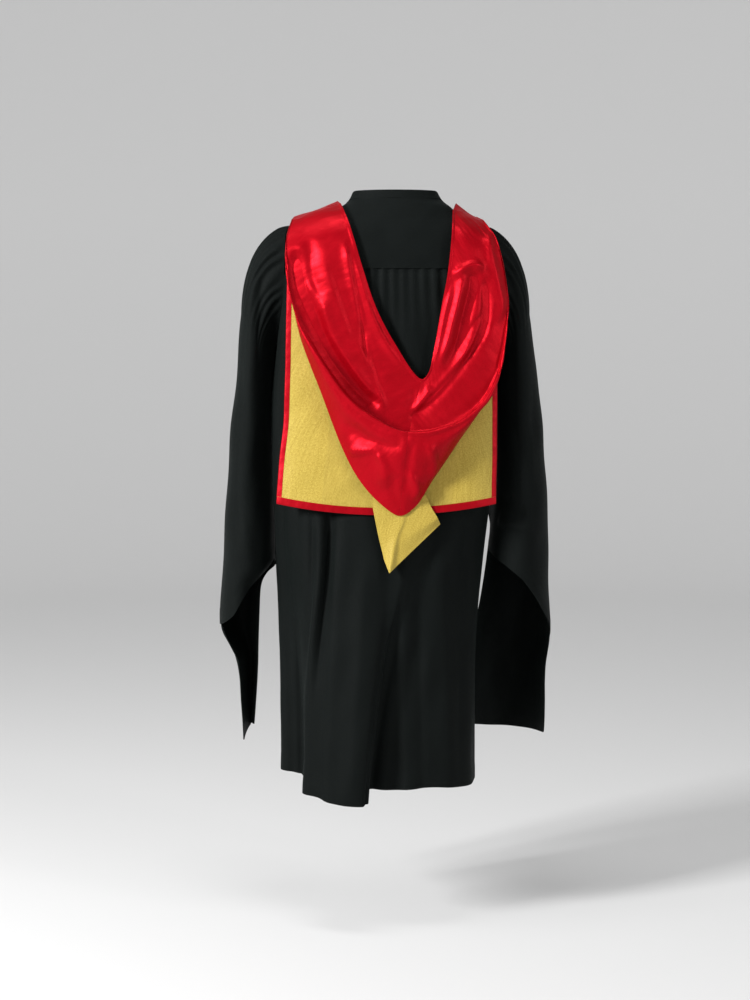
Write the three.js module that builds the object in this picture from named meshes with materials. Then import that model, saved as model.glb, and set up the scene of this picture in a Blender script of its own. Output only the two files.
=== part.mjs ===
// A black graduation gown with its hood, worn: hollow, open at neck, front, hem and cuffs.
// Millimetres, +Z up. The gown's front faces -Y, and the wearer's left is +X.
// The origin lies between the shoulders, at the height where neck and shoulders meet.
import * as THREE from "three";

// Cloth and seams
const gownCloth = 2.0;
const hoodCloth = 2.0;
const seamGap = 0.5;
const layerGap = 0.5;

// Armhole: an oval on the side of the body, from the shoulder point to the underarm
const armholeTop = -60;
const armholeHeight = 240;
const armholeHalfAngle = 0.45;
const armholeSteps = 24;

// Yoke, collar and front opening
const necklineHeight = -5;
const necklineFrontDip = 26;
const yokeBackStep = 5;
const yokeFrontStep = 4;
const collarRise = 17;
const frontGapHalf = 66;
const hemLevel = -1212;
const fallRows = 8;

// Layers of the hood, each counted from the gown's back to the middle of the cloth
const capeLift = 5;
const capeTopLift = 7;
const bindingLift = capeLift + hoodCloth + 2 * layerGap;
const neckEdgeLift = capeLift + capeTopLift + hoodCloth + 1;
const cowlLift = neckEdgeLift + 1;
const liripipeLift = bindingLift + hoodCloth + layerGap;
const pointLift = liripipeLift + hoodCloth + 4;
const bandLift = gownCloth + 1.1;
const bandShoulderLift = 7;
const hoodFlare = 34;
const hoodSquare = 1;
const hoodHang = 9;
const hoodShoulderLoft = 1.7;
const sideBindingWidth = 10;
const bottomBindingWidth = 14;

// Colours as they show in even light
const gownBlack = 0x15191a;
const satinRed = 0xc8081c;
const capeGold = 0xd9bd5e;

// Level sections of the body form: half sizes to each side of the origin, and how square it is
const bodySections = [
  { z: 20, left: 62, right: 102, back: 48, front: 46, square: 2.0 },
  { z: -6, left: 74, right: 116, back: 60, front: 56, square: 2.0 },
  { z: -20, left: 92, right: 134, back: 72, front: 66, square: 2.05 },
  { z: -34, left: 124, right: 150, back: 82, front: 76, square: 2.1 },
  { z: -48, left: 168, right: 172, back: 90, front: 84, square: 2.2 },
  { z: -60, left: 194, right: 194, back: 97, front: 90, square: 2.35 },
  { z: -80, left: 205, right: 206, back: 104, front: 97, square: 2.6 },
  { z: -130, left: 210, right: 212, back: 112, front: 106, square: 2.9 },
  { z: -200, left: 214, right: 218, back: 114, front: 112, square: 3.1 },
  { z: -300, left: 223, right: 228, back: 112, front: 116, square: 3.2 },
  { z: -450, left: 235, right: 234, back: 106, front: 114, square: 3.1 },
  { z: -560, left: 235, right: 229, back: 108, front: 112, square: 3.0 },
  { z: -650, left: 231, right: 218, back: 114, front: 112, square: 2.9 },
  { z: -760, left: 230, right: 207, back: 120, front: 114, square: 2.8 },
  { z: -1000, left: 223, right: 187, back: 130, front: 120, square: 2.7 },
  { z: -1240, left: 220, right: 184, back: 138, front: 126, square: 2.7 },
];

// The back's hem, from the left side seam (share 0) to the right one (share 1)
const backHem = [
  { share: 0.0, x: 221, y: -62, z: -1200 },
  { share: 0.05, x: 221, y: -30, z: -1199 },
  { share: 0.1, x: 209, y: -9, z: -1199 },
  { share: 0.15, x: 189, y: -4, z: -1200 },
  { share: 0.2, x: 173, y: 8, z: -1203 },
  { share: 0.25, x: 165, y: 60, z: -1212 },
  { share: 0.31, x: 162, y: 116, z: -1217 },
  { share: 0.37, x: 139, y: 145, z: -1221 },
  { share: 0.44, x: 110, y: 162, z: -1229 },
  { share: 0.5, x: 78, y: 173, z: -1233 },
  { share: 0.56, x: 46, y: 178, z: -1234 },
  { share: 0.6, x: 35, y: 166, z: -1230 },
  { share: 0.63, x: 38, y: 138, z: -1218 },
  { share: 0.66, x: 26, y: 122, z: -1210 },
  { share: 0.73, x: -4, y: 122, z: -1211 },
  { share: 0.8, x: -50, y: 128, z: -1209 },
  { share: 0.87, x: -100, y: 120, z: -1206 },
  { share: 0.93, x: -150, y: 98, z: -1210 },
  { share: 0.97, x: -178, y: 62, z: -1212 },
  { share: 1.0, x: -188, y: 10, z: -1208 },
];

// The fronts' hem, from the side seam (share 0) to the open front edge (share 1)
const leftFrontHem = [
  { share: 0.0, x: 221, y: -62, z: -1200 },
  { share: 0.25, x: 210, y: -100, z: -1206 },
  { share: 0.5, x: 168, y: -122, z: -1212 },
  { share: 0.75, x: 120, y: -138, z: -1216 },
  { share: 1.0, x: 72, y: -132, z: -1214 },
];
const rightFrontHem = [
  { share: 0.0, x: -188, y: 10, z: -1208 },
  { share: 0.25, x: -186, y: -58, z: -1210 },
  { share: 0.5, x: -152, y: -112, z: -1212 },
  { share: 0.75, x: -104, y: -136, z: -1216 },
  { share: 1.0, x: -56, y: -132, z: -1214 },
];

// Folds that fall from the gathers of the back: where they run, how wide and how deep they are
const backFolds = [
  { shareTop: 0.2, shareHem: 0.1, width: 0.035, depth: 9 },
  { shareTop: 0.27, shareHem: 0.2, width: 0.03, depth: 12 },
  { shareTop: 0.345, shareHem: 0.4, width: 0.028, depth: 15 },
  { shareTop: 0.5, shareHem: 0.64, width: 0.04, depth: 10 },
  { shareTop: 0.62, shareHem: 0.76, width: 0.03, depth: 6 },
  { shareTop: 0.78, shareHem: 0.86, width: 0.04, depth: 8 },
];

// Sleeve sections: distance from the centre plane, and depth behind and before it
const leftSleeve = [
  { z: -230, outer: 295, inner: 224, back: 66, front: 62 },
  { z: -270, outer: 300, inner: 228, back: 66, front: 68 },
  { z: -375, outer: 309, inner: 236, back: 68, front: 82 },
  { z: -500, outer: 323, inner: 242, back: 64, front: 102 },
  { z: -625, outer: 333, inner: 238, back: 58, front: 130 },
  { z: -750, outer: 340, inner: 236, back: 52, front: 150 },
  { z: -809, outer: 343, inner: 264, back: 48, front: 158 },
  { z: -892, outer: 348, inner: 268, back: 44, front: 164 },
  { z: -917, outer: 342, inner: 269, back: 42, front: 165 },
  { z: -940, outer: 326, inner: 270, back: 40, front: 165 },
  { z: -980, outer: 312, inner: 271, back: 38, front: 164 },
  { z: -1064, outer: 306, inner: 276, back: 36, front: 162 },
  { z: -1150, outer: 303, inner: 282, back: 36, front: 160 },
];
const rightSleeve = [
  { z: -230, outer: 296, inner: 229, back: 66, front: 62 },
  { z: -270, outer: 303, inner: 232, back: 66, front: 68 },
  { z: -375, outer: 316, inner: 237, back: 68, front: 82 },
  { z: -500, outer: 331, inner: 238, back: 64, front: 102 },
  { z: -625, outer: 340, inner: 230, back: 58, front: 130 },
  { z: -700, outer: 343, inner: 221, back: 54, front: 145 },
  { z: -750, outer: 345, inner: 216, back: 52, front: 154 },
  { z: -860, outer: 348, inner: 199, back: 48, front: 164 },
  { z: -917, outer: 349, inner: 184, back: 46, front: 172 },
  { z: -1000, outer: 342, inner: 166, back: 44, front: 176 },
  { z: -1135, outer: 345, inner: 152, back: 42, front: 176 },
];

// Where the sleeves end, by angle: 0 outside, 90 behind, 180 inside, 270 in front
const leftSleeveEnd = [
  { angle: 0, z: -892 },
  { angle: 30, z: -886 },
  { angle: 75, z: -864 },
  { angle: 120, z: -808 },
  { angle: 150, z: -774 },
  { angle: 180, z: -752 },
  { angle: 195, z: -905 },
  { angle: 210, z: -1118 },
  { angle: 270, z: -1126 },
  { angle: 330, z: -1142 },
  { angle: 345, z: -1148 },
  { angle: 360, z: -892 },
];
const rightSleeveEnd = [
  { angle: 0, z: -917 },
  { angle: 30, z: -872 },
  { angle: 60, z: -824 },
  { angle: 90, z: -782 },
  { angle: 135, z: -748 },
  { angle: 180, z: -731 },
  { angle: 195, z: -900 },
  { angle: 210, z: -1118 },
  { angle: 270, z: -1126 },
  { angle: 330, z: -1131 },
  { angle: 345, z: -1133 },
  { angle: 360, z: -917 },
];
const sleeveHeadRows = 5;
const sleeveFallRows = 8;
const sleeveHeadDrop = 0.2;

// Hood curves seen from behind, from the left shoulder (share 0) to the right one (share 1)
const neckEdge = [
  { share: 0.0, x: 90, z: -25 },
  { share: 0.1, x: 70, z: -72 },
  { share: 0.2, x: 48, z: -142 },
  { share: 0.3, x: 22, z: -220 },
  { share: 0.4, x: -18, z: -298 },
  { share: 0.5, x: -74, z: -371 },
  { share: 0.54, x: -88, z: -356 },
  { share: 0.6, x: -99, z: -306 },
  { share: 0.7, x: -113, z: -224 },
  { share: 0.8, x: -125, z: -158 },
  { share: 0.9, x: -133, z: -84 },
  { share: 1.0, x: -136, z: -38 },
];
const lipEdge = [
  { share: 0.0, x: 188, z: -64, stand: 4 },
  { share: 0.08, x: 198, z: -108, stand: 5 },
  { share: 0.17, x: 195, z: -172, stand: 7 },
  { share: 0.26, x: 176, z: -249, stand: 12 },
  { share: 0.35, x: 122, z: -347, stand: 24 },
  { share: 0.43, x: 51, z: -432, stand: 38 },
  { share: 0.5, x: -45, z: -478, stand: 48 },
  { share: 0.57, x: -127, z: -467, stand: 42 },
  { share: 0.65, x: -199, z: -413, stand: 28 },
  { share: 0.74, x: -234, z: -330, stand: 14 },
  { share: 0.83, x: -242, z: -230, stand: 9 },
  { share: 0.92, x: -228, z: -120, stand: 7 },
  { share: 1.0, x: -198, z: -66, stand: 4 },
];
const pointEdge = [
  { share: 0.0, x: 191, z: -74 },
  { share: 0.08, x: 201, z: -122 },
  { share: 0.17, x: 191, z: -190 },
  { share: 0.26, x: 174, z: -275 },
  { share: 0.35, x: 128, z: -402 },
  { share: 0.43, x: 78, z: -530 },
  { share: 0.47, x: 34, z: -600 },
  { share: 0.5, x: -28, z: -648 },
  { share: 0.53, x: -58, z: -632 },
  { share: 0.57, x: -95, z: -576 },
  { share: 0.65, x: -146, z: -500 },
  { share: 0.74, x: -212, z: -392 },
  { share: 0.83, x: -240, z: -250 },
  { share: 0.92, x: -229, z: -136 },
  { share: 1.0, x: -200, z: -78 },
];

// Cape outline: the left and right edges from shoulder to corner, and the sag of the bottom
const capeLeft = [
  { z: -66, x: 186 },
  { z: -110, x: 195 },
  { z: -212, x: 198 },
  { z: -333, x: 201 },
  { z: -454, x: 205 },
  { z: -536, x: 213 },
  { z: -624, x: 219 },
];
const capeRight = [
  { z: -68, x: -190 },
  { z: -120, x: -212 },
  { z: -230, x: -222 },
  { z: -414, x: -226 },
  { z: -556, x: -225 },
  { z: -624, x: -223 },
];
const capeBottomSag = 22;

// Liripipe: its left edge, its crease and its right edge, from under the point to the tail's end
const liripipeRibs = [
  { left: [30, -606], crease: [-40, -612], right: [-82, -606] },
  { left: [24, -640], crease: [-37, -652], right: [-93, -632] },
  { left: [14, -690], crease: [-20, -698], right: [-104, -650] },
  { left: [3, -735], crease: [-8, -763], right: [-111, -665] },
];
const liripipeCrease = 11;

// Front neck bands: the middle seen from the front, the width across and how far the outside drops
const leftBand = [
  { share: 0.0, z: -52, x: 148, width: 92, drop: 34 },
  { share: 0.3, z: -98, x: 114, width: 58, drop: 36 },
  { share: 0.65, z: -170, x: 60, width: 36, drop: 40 },
  { share: 1.0, z: -245, x: 0.35, width: 0, drop: 54 },
];
const rightBand = [
  { share: 0.0, z: -56, x: 156, width: 60, drop: 26 },
  { share: 0.3, z: -98, x: 116, width: 50, drop: 34 },
  { share: 0.65, z: -170, x: 60, width: 36, drop: 40 },
  { share: 1.0, z: -245, x: 0.35, width: 0, drop: 54 },
];
const bandMiddle = -10;
const bandRows = 9;
const ridgeRows = 4;
const bandReach = 182;
const bandStart = 6;
const bandBackAngle = 1.35;
const bandFrontAngle = 1.95;

const lerp = (a, b, t) => a + (b - a) * t;
const clamp = (value, low, high) => Math.min(high, Math.max(low, value));
const degrees = (radians) => (radians * 180) / Math.PI;

function ease(low, high, value) {
  const t = clamp((value - low) / (high - low), 0, 1);
  return t * t * (3 - 2 * t);
}

// Reads one column of a table at a place between its rows, along a curve that never overshoots
function read(table, key, column, at) {
  const rising = table[table.length - 1][key] > table[0][key];
  const sign = rising ? 1 : -1;
  const xs = table.map((row) => row[key] * sign);
  const ys = table.map((row) => row[column]);
  const x = clamp(at * sign, xs[0], xs[xs.length - 1]);
  let i = 0;
  while (i < xs.length - 2 && x > xs[i + 1]) i += 1;
  const slope = (k) => (ys[k + 1] - ys[k]) / (xs[k + 1] - xs[k]);
  const tangent = (k) => {
    if (k === 0) return slope(0);
    if (k === xs.length - 1) return slope(k - 1);
    const a = slope(k - 1);
    const b = slope(k);
    return a * b <= 0 ? 0 : (2 * a * b) / (a + b);
  };
  const step = xs[i + 1] - xs[i];
  const t = (x - xs[i]) / step;
  const straight = lerp(ys[i], ys[i + 1], t);
  const bend = t * (1 - t) * step;
  return straight + bend * ((tangent(i) - slope(i)) * (1 - t) - (tangent(i + 1) - slope(i)) * t);
}

// One level section of the body form, or of the wider, squarer form that the hood hangs on
function sectionAt(z, hood) {
  const left = read(bodySections, "z", "left", z);
  const right = read(bodySections, "z", "right", z);
  const back = read(bodySections, "z", "back", z);
  const front = read(bodySections, "z", "front", z);
  const spread = hood ? ease(-52, -115, z) : 0;
  return {
    middleX: (left - right) / 2,
    middleY: (back - front) / 2,
    wide: (left + right) / 2 + hoodFlare * spread,
    deep: (back + front) / 2,
    square: read(bodySections, "z", "square", z) + hoodSquare * spread,
  };
}

// A point on the form: angle 0 is behind, a quarter turn is at the wearer's left
function formPoint(angle, z, hood = false) {
  const { middleX, middleY, wide, deep, square } = sectionAt(z, hood);
  const s = Math.sin(angle);
  const c = Math.cos(angle);
  const reach = (Math.abs(s) ** square + Math.abs(c) ** square) ** (-1 / square);
  return new THREE.Vector3(middleX + wide * reach * s, middleY + deep * reach * c, z);
}

function formNormal(angle, z, hood = false) {
  const turn = 0.004;
  const rise = 1;
  const around = formPoint(angle + turn, z, hood).sub(formPoint(angle - turn, z, hood));
  const up = formPoint(angle, z + rise, hood).sub(formPoint(angle, z - rise, hood));
  return up.cross(around).normalize();
}

// The angle from straight behind, or from straight in front, of the place at x on the form
function sideAngle(x, z, hood = false) {
  const { middleX, wide, square } = sectionAt(z, hood);
  const share = clamp((x - middleX) / wide, -0.995, 0.995);
  return Math.atan2(share, (1 - Math.abs(share) ** square) ** (1 / square));
}

function onHoodBack(x, z, lift) {
  const angle = sideAngle(x, z, true);
  const hang = hoodHang * ease(-420, -620, z);
  const loft = lerp(1, hoodShoulderLoft, ease(-150, -70, z));
  return formPoint(angle, z, true).addScaledVector(formNormal(angle, z, true), lift * loft + hang);
}

function onFront(x, z, lift) {
  const angle = Math.PI - sideAngle(x, z);
  return formPoint(angle, z).addScaledVector(formNormal(angle, z), lift);
}

// Turns a grid of points on the middle of the cloth into a closed wall of even thickness
function clothWall(grid, thickness, closedAround = false) {
  const rows = grid.length;
  const columns = grid[0].length;
  const positions = [];
  const triangles = [];
  const normalAt = (i, j) => {
    const before = closedAround ? (j + columns - 1) % columns : Math.max(j - 1, 0);
    const after = closedAround ? (j + 1) % columns : Math.min(j + 1, columns - 1);
    const across = grid[i][after].clone().sub(grid[i][before]);
    const along = grid[Math.min(i + 1, rows - 1)][j].clone().sub(grid[Math.max(i - 1, 0)][j]);
    return across.cross(along).normalize();
  };
  for (const side of [1, -1]) {
    for (let i = 0; i < rows; i += 1) {
      for (let j = 0; j < columns; j += 1) {
        const point = grid[i][j].clone().addScaledVector(normalAt(i, j), (side * thickness) / 2);
        positions.push(point.x, point.y, point.z);
      }
    }
  }
  const index = (side, i, j) => side * rows * columns + i * columns + (j % columns);
  const quad = (a, b, c, d) => triangles.push(a, b, c, a, c, d);
  const spans = closedAround ? columns : columns - 1;
  for (let i = 0; i < rows - 1; i += 1) {
    for (let j = 0; j < spans; j += 1) {
      quad(index(0, i, j), index(0, i, j + 1), index(0, i + 1, j + 1), index(0, i + 1, j));
      quad(index(1, i, j), index(1, i + 1, j), index(1, i + 1, j + 1), index(1, i, j + 1));
    }
  }
  for (let j = 0; j < spans; j += 1) {
    quad(index(0, 0, j + 1), index(0, 0, j), index(1, 0, j), index(1, 0, j + 1));
    const last = rows - 1;
    quad(index(0, last, j), index(0, last, j + 1), index(1, last, j + 1), index(1, last, j));
  }
  if (!closedAround) {
    for (let i = 0; i < rows - 1; i += 1) {
      quad(index(0, i, 0), index(0, i + 1, 0), index(1, i + 1, 0), index(1, i, 0));
      const end = columns - 1;
      quad(index(0, i + 1, end), index(0, i, end), index(1, i, end), index(1, i + 1, end));
    }
  }
  return facingOut(positions, triangles);
}

function facingOut(positions, triangles) {
  let volume = 0;
  const at = (k) => new THREE.Vector3(positions[3 * k], positions[3 * k + 1], positions[3 * k + 2]);
  for (let k = 0; k < triangles.length; k += 3) {
    volume += at(triangles[k]).dot(at(triangles[k + 1]).cross(at(triangles[k + 2])));
  }
  if (volume < 0) triangles.reverse();
  const geometry = new THREE.BufferGeometry();
  geometry.setAttribute("position", new THREE.Float32BufferAttribute(positions, 3));
  geometry.setIndex(triangles);
  geometry.computeVertexNormals();
  return geometry;
}

const gown = new THREE.Group();

function addPiece(name, geometry, color, roughness) {
  const material = new THREE.MeshStandardMaterial({ color, roughness, metalness: 0 });
  const mesh = new THREE.Mesh(geometry, material);
  mesh.name = name;
  gown.add(mesh);
}

const addGownPiece = (name, geometry) => addPiece(name, geometry, gownBlack, 0.85);
const addSatinPiece = (name, geometry) => addPiece(name, geometry, satinRed, 0.35);
const addGoldPiece = (name, geometry) => addPiece(name, geometry, capeGold, 0.6);

// Armhole: step 0 is the shoulder point, a quarter round is behind, half round is the underarm
const armholeMiddle = armholeTop - armholeHeight / 2;
const armholeTurn = (step) => (2 * Math.PI * step) / armholeSteps;
const armholeZ = (step) => armholeMiddle + (armholeHeight / 2) * Math.cos(armholeTurn(step));

function armholeAngle(step) {
  return Math.PI / 2 - armholeHalfAngle * Math.sin(armholeTurn(step));
}

const frontEdgeAngle = (z) => Math.PI - sideAngle(sectionAt(z).middleX + frontGapHalf, z);

// Yoke columns on one side, from the centre back to the front edge, each with its lowest height
function yokeColumns() {
  const columns = [];
  const backAngle = armholeAngle(yokeBackStep);
  const backSpans = 9;
  for (let k = 0; k < backSpans; k += 1) {
    columns.push({ angle: (backAngle * k) / backSpans, low: armholeZ(yokeBackStep) });
  }
  for (let step = yokeBackStep; step >= -yokeFrontStep; step -= 1) {
    columns.push({ angle: armholeAngle(step), low: armholeZ(step) });
  }
  const frontAngle = armholeAngle(-yokeFrontStep);
  const frontSpans = 4;
  for (let k = 1; k <= frontSpans; k += 1) {
    columns.push({ reach: k / frontSpans, angle: frontAngle, low: armholeZ(-yokeFrontStep) });
  }
  return columns;
}

const necklineZ = (angle) => necklineHeight - necklineFrontDip * ease(1.2, 2.5, Math.abs(angle));

function addYoke() {
  const half = yokeColumns();
  const rows = 7;
  const pointAt = (column, side, t) => {
    const top = necklineZ(column.reach ? lerp(column.angle, 2.4, column.reach) : column.angle);
    const z = lerp(top, column.low, t ** 1.5);
    let angle = column.angle;
    if (column.reach) angle = lerp(column.angle, frontEdgeAngle(z), column.reach);
    return formPoint(side * angle, z);
  };
  const grid = [];
  for (let i = 0; i < rows; i += 1) {
    const t = i / (rows - 1);
    const leftRow = half.map((column) => pointAt(column, 1, t));
    const rightRow = half.slice(1).map((column) => pointAt(column, -1, t));
    grid.push([...leftRow.reverse(), ...rightRow]);
  }
  addGownPiece("gown_yoke", clothWall(grid, gownCloth));
}

// A narrow stand along the neckline, drawn in a little at its top
function addCollar() {
  const spans = 24;
  const edge = frontEdgeAngle(necklineHeight - necklineFrontDip);
  const grid = [];
  for (const rise of [gownCloth + seamGap, collarRise / 2, collarRise]) {
    const row = [];
    for (let j = 0; j <= spans; j += 1) {
      const angle = lerp(edge, -edge, j / spans);
      row.push(formPoint(angle, necklineZ(angle) + rise));
    }
    grid.push(row);
  }
  addGownPiece("gown_collar", clothWall(grid, gownCloth));
}

// Half an armhole as heights for the panel below the yoke, then even steps down to the hem
function panelHeights(firstStep) {
  const heights = [];
  for (let step = firstStep; step <= armholeSteps / 2; step += 1) heights.push(armholeZ(step));
  const underarm = heights[heights.length - 1];
  for (let i = 1; i <= fallRows; i += 1) heights.push(lerp(underarm, hemLevel, i / fallRows));
  return heights;
}

function armholeInset(z) {
  const up = (z - armholeMiddle) / (armholeHeight / 2);
  return Math.abs(up) < 1 ? armholeHalfAngle * Math.sqrt(1 - up * up) : 0;
}

// Near an armhole only the columns close to it give way
function besideArmhole(angle, z) {
  const steady = 1.0;
  const away = Math.abs(angle);
  if (away < steady) return angle;
  const share = (away - steady) / (Math.PI / 2 - steady);
  return Math.sign(angle) * lerp(steady, Math.PI / 2 - armholeInset(z), share);
}

// How far a panel has gone over from the form to its hem's shape: it starts at the hips
const hipLevel = -540;
const hemEnd = -1230;

function hemWeight(z) {
  const straight = clamp((hipLevel - z) / (hipLevel - hemEnd), 0, 1);
  return lerp(straight, ease(hipLevel, hemEnd, z), 0.6);
}

function foldDepth(folds, share, z) {
  const down = ease(-300, -1200, z);
  const strength = ease(-170, -330, z);
  let depth = 0;
  for (const fold of folds) {
    const middle = lerp(fold.shareTop, fold.shareHem, down);
    const away = (share - middle) / (fold.width * lerp(1, 1.5, down));
    depth += fold.depth * lerp(1, 0.5, down) * Math.exp(-away * away);
  }
  return depth * strength;
}

function hemPoint(table, share) {
  return new THREE.Vector3(
    read(table, "share", "x", share),
    read(table, "share", "y", share),
    read(table, "share", "z", share),
  );
}

// A panel that falls from the yoke: on the form above, and drawn to its hem's shape below
function fallingPoint(angle, share, z, hemTable, folds) {
  const above = formPoint(angle, z);
  const hem = hemPoint(hemTable, share);
  const weight = hemWeight(z);
  const point = above.clone();
  point.x = lerp(above.x, hem.x, weight);
  point.y = lerp(above.y, hem.y, weight);
  point.z = z + (hem.z - hemLevel) * ease(-600, hemLevel, z);
  return point.addScaledVector(formNormal(angle, z), -foldDepth(folds, share, z));
}

// Draws both ends of a row in from its seams
function drawnIn(row, gap) {
  const last = row.length - 1;
  const ends = [row[0].clone().sub(row[1]), row[last].clone().sub(row[last - 1])];
  row[0].addScaledVector(ends[0].normalize(), -gap);
  row[last].addScaledVector(ends[1].normalize(), -gap);
  return row;
}

// Columns of the back, closer together where the hem steps
const backColumns = [
  0, 0.04, 0.09, 0.13, 0.17, 0.2, 0.235, 0.27, 0.31, 0.345, 0.38, 0.42, 0.46, 0.5,
  0.54, 0.575, 0.6, 0.615, 0.635, 0.66, 0.7, 0.75, 0.8, 0.85, 0.9, 0.94, 0.97, 1,
];

function addBack() {
  const heights = panelHeights(yokeBackStep);
  const grid = heights.map((z, i) => {
    const height = i === 0 ? z - seamGap : z;
    const row = backColumns.map((share) => {
      const angle = besideArmhole(lerp(Math.PI / 2, -Math.PI / 2, share), z);
      return fallingPoint(angle, share, height, backHem, backFolds);
    });
    return drawnIn(row, seamGap);
  });
  addGownPiece("gown_back", clothWall(grid, gownCloth));
}

function addFront(name, side, hemTable) {
  const heights = panelHeights(yokeFrontStep);
  const spans = 8;
  const grid = heights.map((z, i) => {
    const edge = Math.PI / 2 + armholeInset(z);
    const height = i === 0 ? z - seamGap : z;
    const row = [];
    for (let j = 0; j <= spans; j += 1) {
      const share = j / spans;
      const angle = side * lerp(edge, frontEdgeAngle(height), share);
      row.push(fallingPoint(angle, share, height, hemTable, []));
    }
    return drawnIn(row, seamGap);
  });
  addGownPiece(name, clothWall(grid, gownCloth));
}

function sleeveSection(side, table, turn, z) {
  const outer = read(table, "z", "outer", z);
  const inner = read(table, "z", "inner", z);
  const back = read(table, "z", "back", z);
  const front = read(table, "z", "front", z);
  const x = (outer + inner) / 2 + ((outer - inner) / 2) * Math.cos(turn);
  const y = (back - front) / 2 + ((back + front) / 2) * Math.sin(turn);
  return new THREE.Vector3(side * x, y, z);
}

// One sleeve: a rounded head that leaves the armhole and turns down, then a long open fall
function addSleeve(name, side, table, ends) {
  const grid = Array.from({ length: sleeveHeadRows + sleeveFallRows + 1 }, () => []);
  for (let step = 0; step < armholeSteps; step += 1) {
    const turn = armholeTurn(step);
    const angle = armholeAngle(step);
    const z = armholeZ(step);
    const start = formPoint(side * angle, z);
    const middle = formPoint((side * Math.PI) / 2, armholeMiddle);
    const inward = new THREE.Vector3(0, middle.y - start.y, middle.z - start.z).normalize();
    start.addScaledVector(inward, gownCloth * 0.6 + seamGap);
    start.x += side * (gownCloth / 2 + seamGap);
    const high = (1 + Math.cos(turn)) / 2;
    const joinZ = lerp(-345, -240, high);
    const join = sleeveSection(side, table, turn, joinZ);
    const length = start.distanceTo(join);
    const leave = new THREE.Vector3(side, 0, -sleeveHeadDrop * high).normalize();
    leave.multiplyScalar(length * lerp(0.5, 1.1, high));
    const arrive = new THREE.Vector3(0, 0, -length * lerp(1.2, 1.0, high));
    for (let i = 0; i <= sleeveHeadRows; i += 1) {
      const t = i / sleeveHeadRows;
      grid[i].push(hermite(start, leave, join, arrive, t));
    }
    const endZ = read(ends, "angle", "z", degrees(turn));
    for (let i = 1; i <= sleeveFallRows; i += 1) {
      const fallZ = lerp(joinZ, endZ, i / sleeveFallRows);
      grid[sleeveHeadRows + i].push(sleeveSection(side, table, turn, fallZ));
    }
  }
  addGownPiece(name, clothWall(grid, gownCloth, true));
}

function hermite(start, leave, end, arrive, t) {
  const t2 = t * t;
  const t3 = t2 * t;
  return new THREE.Vector3()
    .addScaledVector(start, 2 * t3 - 3 * t2 + 1)
    .addScaledVector(leave, t3 - 2 * t2 + t)
    .addScaledVector(end, -2 * t3 + 3 * t2)
    .addScaledVector(arrive, t3 - t2);
}

// The cape's top runs along the left shoulder, down and up the neck edge, and along the right one
const capeShoulderShare = 0.2;
const capeUnderNeck = 4;

function capeTop(across) {
  const shoulder = capeShoulderShare;
  const left = { x: capeLeft[0].x, z: capeLeft[0].z };
  const right = { x: capeRight[0].x, z: capeRight[0].z };
  const along = clamp((across - shoulder) / (1 - 2 * shoulder), 0, 1);
  const neck = {
    x: read(neckEdge, "share", "x", along) + capeUnderNeck * (along < 0.5 ? 1 : -1),
    z: read(neckEdge, "share", "z", along) - capeUnderNeck,
  };
  if (across < shoulder) {
    const t = across / shoulder;
    return { x: lerp(left.x, neck.x, t), z: lerp(left.z, neck.z, t) };
  }
  if (across > 1 - shoulder) {
    const t = (across - 1 + shoulder) / shoulder;
    return { x: lerp(neck.x, right.x, t), z: lerp(neck.z, right.z, t) };
  }
  return neck;
}

function capePoint(across, down, lift) {
  const top = capeTop(across);
  const bottom = capeLeft[capeLeft.length - 1].z - capeBottomSag * (1 - (2 * across - 1) ** 2);
  const z = lerp(top.z, bottom, down);
  const shareAt = (x, height) => {
    const left = read(capeLeft, "z", "x", height);
    return (x - left) / (read(capeRight, "z", "x", height) - left);
  };
  const share = lerp(shareAt(top.x, top.z), across, down);
  const x = lerp(read(capeLeft, "z", "x", z), read(capeRight, "z", "x", z), share);
  return onHoodBack(x, z, lift + capeTopLift * ease(0.3, 0.05, down));
}

function capeGrid() {
  const columns = [0, 0.07, 0.14, 0.2, 0.26, 0.32, 0.38, 0.44, 0.5,
    0.56, 0.62, 0.68, 0.74, 0.8, 0.86, 0.93, 1];
  const rows = [0, 0.035, 0.08, 0.14, 0.22, 0.34, 0.5, 0.66, 0.83, 1];
  return rows.map((down) => columns.map((across) => capePoint(across, down, capeLift)));
}

// A ribbon on the outside of a panel's edge: the edge's own points, and the same drawn in by its width
function ribbonOn(edge, inside, width, lift) {
  const inner = edge.map((point, k) => (
    point.clone().add(inside[k].clone().sub(point).setLength(width))
  ));
  const outward = edge.map((point, k) => {
    const along = edge[Math.min(k + 1, edge.length - 1)].clone().sub(edge[Math.max(k - 1, 0)]);
    const normal = along.cross(inside[k].clone().sub(point)).normalize();
    return normal.y < 0 ? normal.negate() : normal;
  });
  const moved = (row) => row.map((point, k) => point.clone().addScaledVector(outward[k], lift));
  return clothWall([moved(edge), moved(inner)], hoodCloth);
}

function addCape() {
  const grid = capeGrid();
  const lift = bindingLift - capeLift;
  const firstRow = 4;
  const sideRows = grid.slice(firstRow);
  const last = grid[0].length - 1;
  const shortened = (points) => {
    const end = points.length - 1;
    const cut = points[end - 1].clone().sub(points[end]).setLength(bottomBindingWidth + seamGap);
    return [...points.slice(0, end), points[end].clone().add(cut)];
  };
  const side = (edgeColumn, insideColumn) => ribbonOn(
    shortened(sideRows.map((row) => row[edgeColumn])),
    shortened(sideRows.map((row) => row[insideColumn])),
    sideBindingWidth,
    lift,
  );
  addGoldPiece("hood_cape", clothWall(grid, hoodCloth));
  addSatinPiece("hood_binding_left", side(0, 1));
  addSatinPiece("hood_binding_right", side(last, last - 1));
  const bottom = grid.length - 1;
  const bottomBinding = ribbonOn(grid[bottom], grid[bottom - 1], bottomBindingWidth, lift);
  addSatinPiece("hood_binding_bottom", bottomBinding);
}

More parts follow.
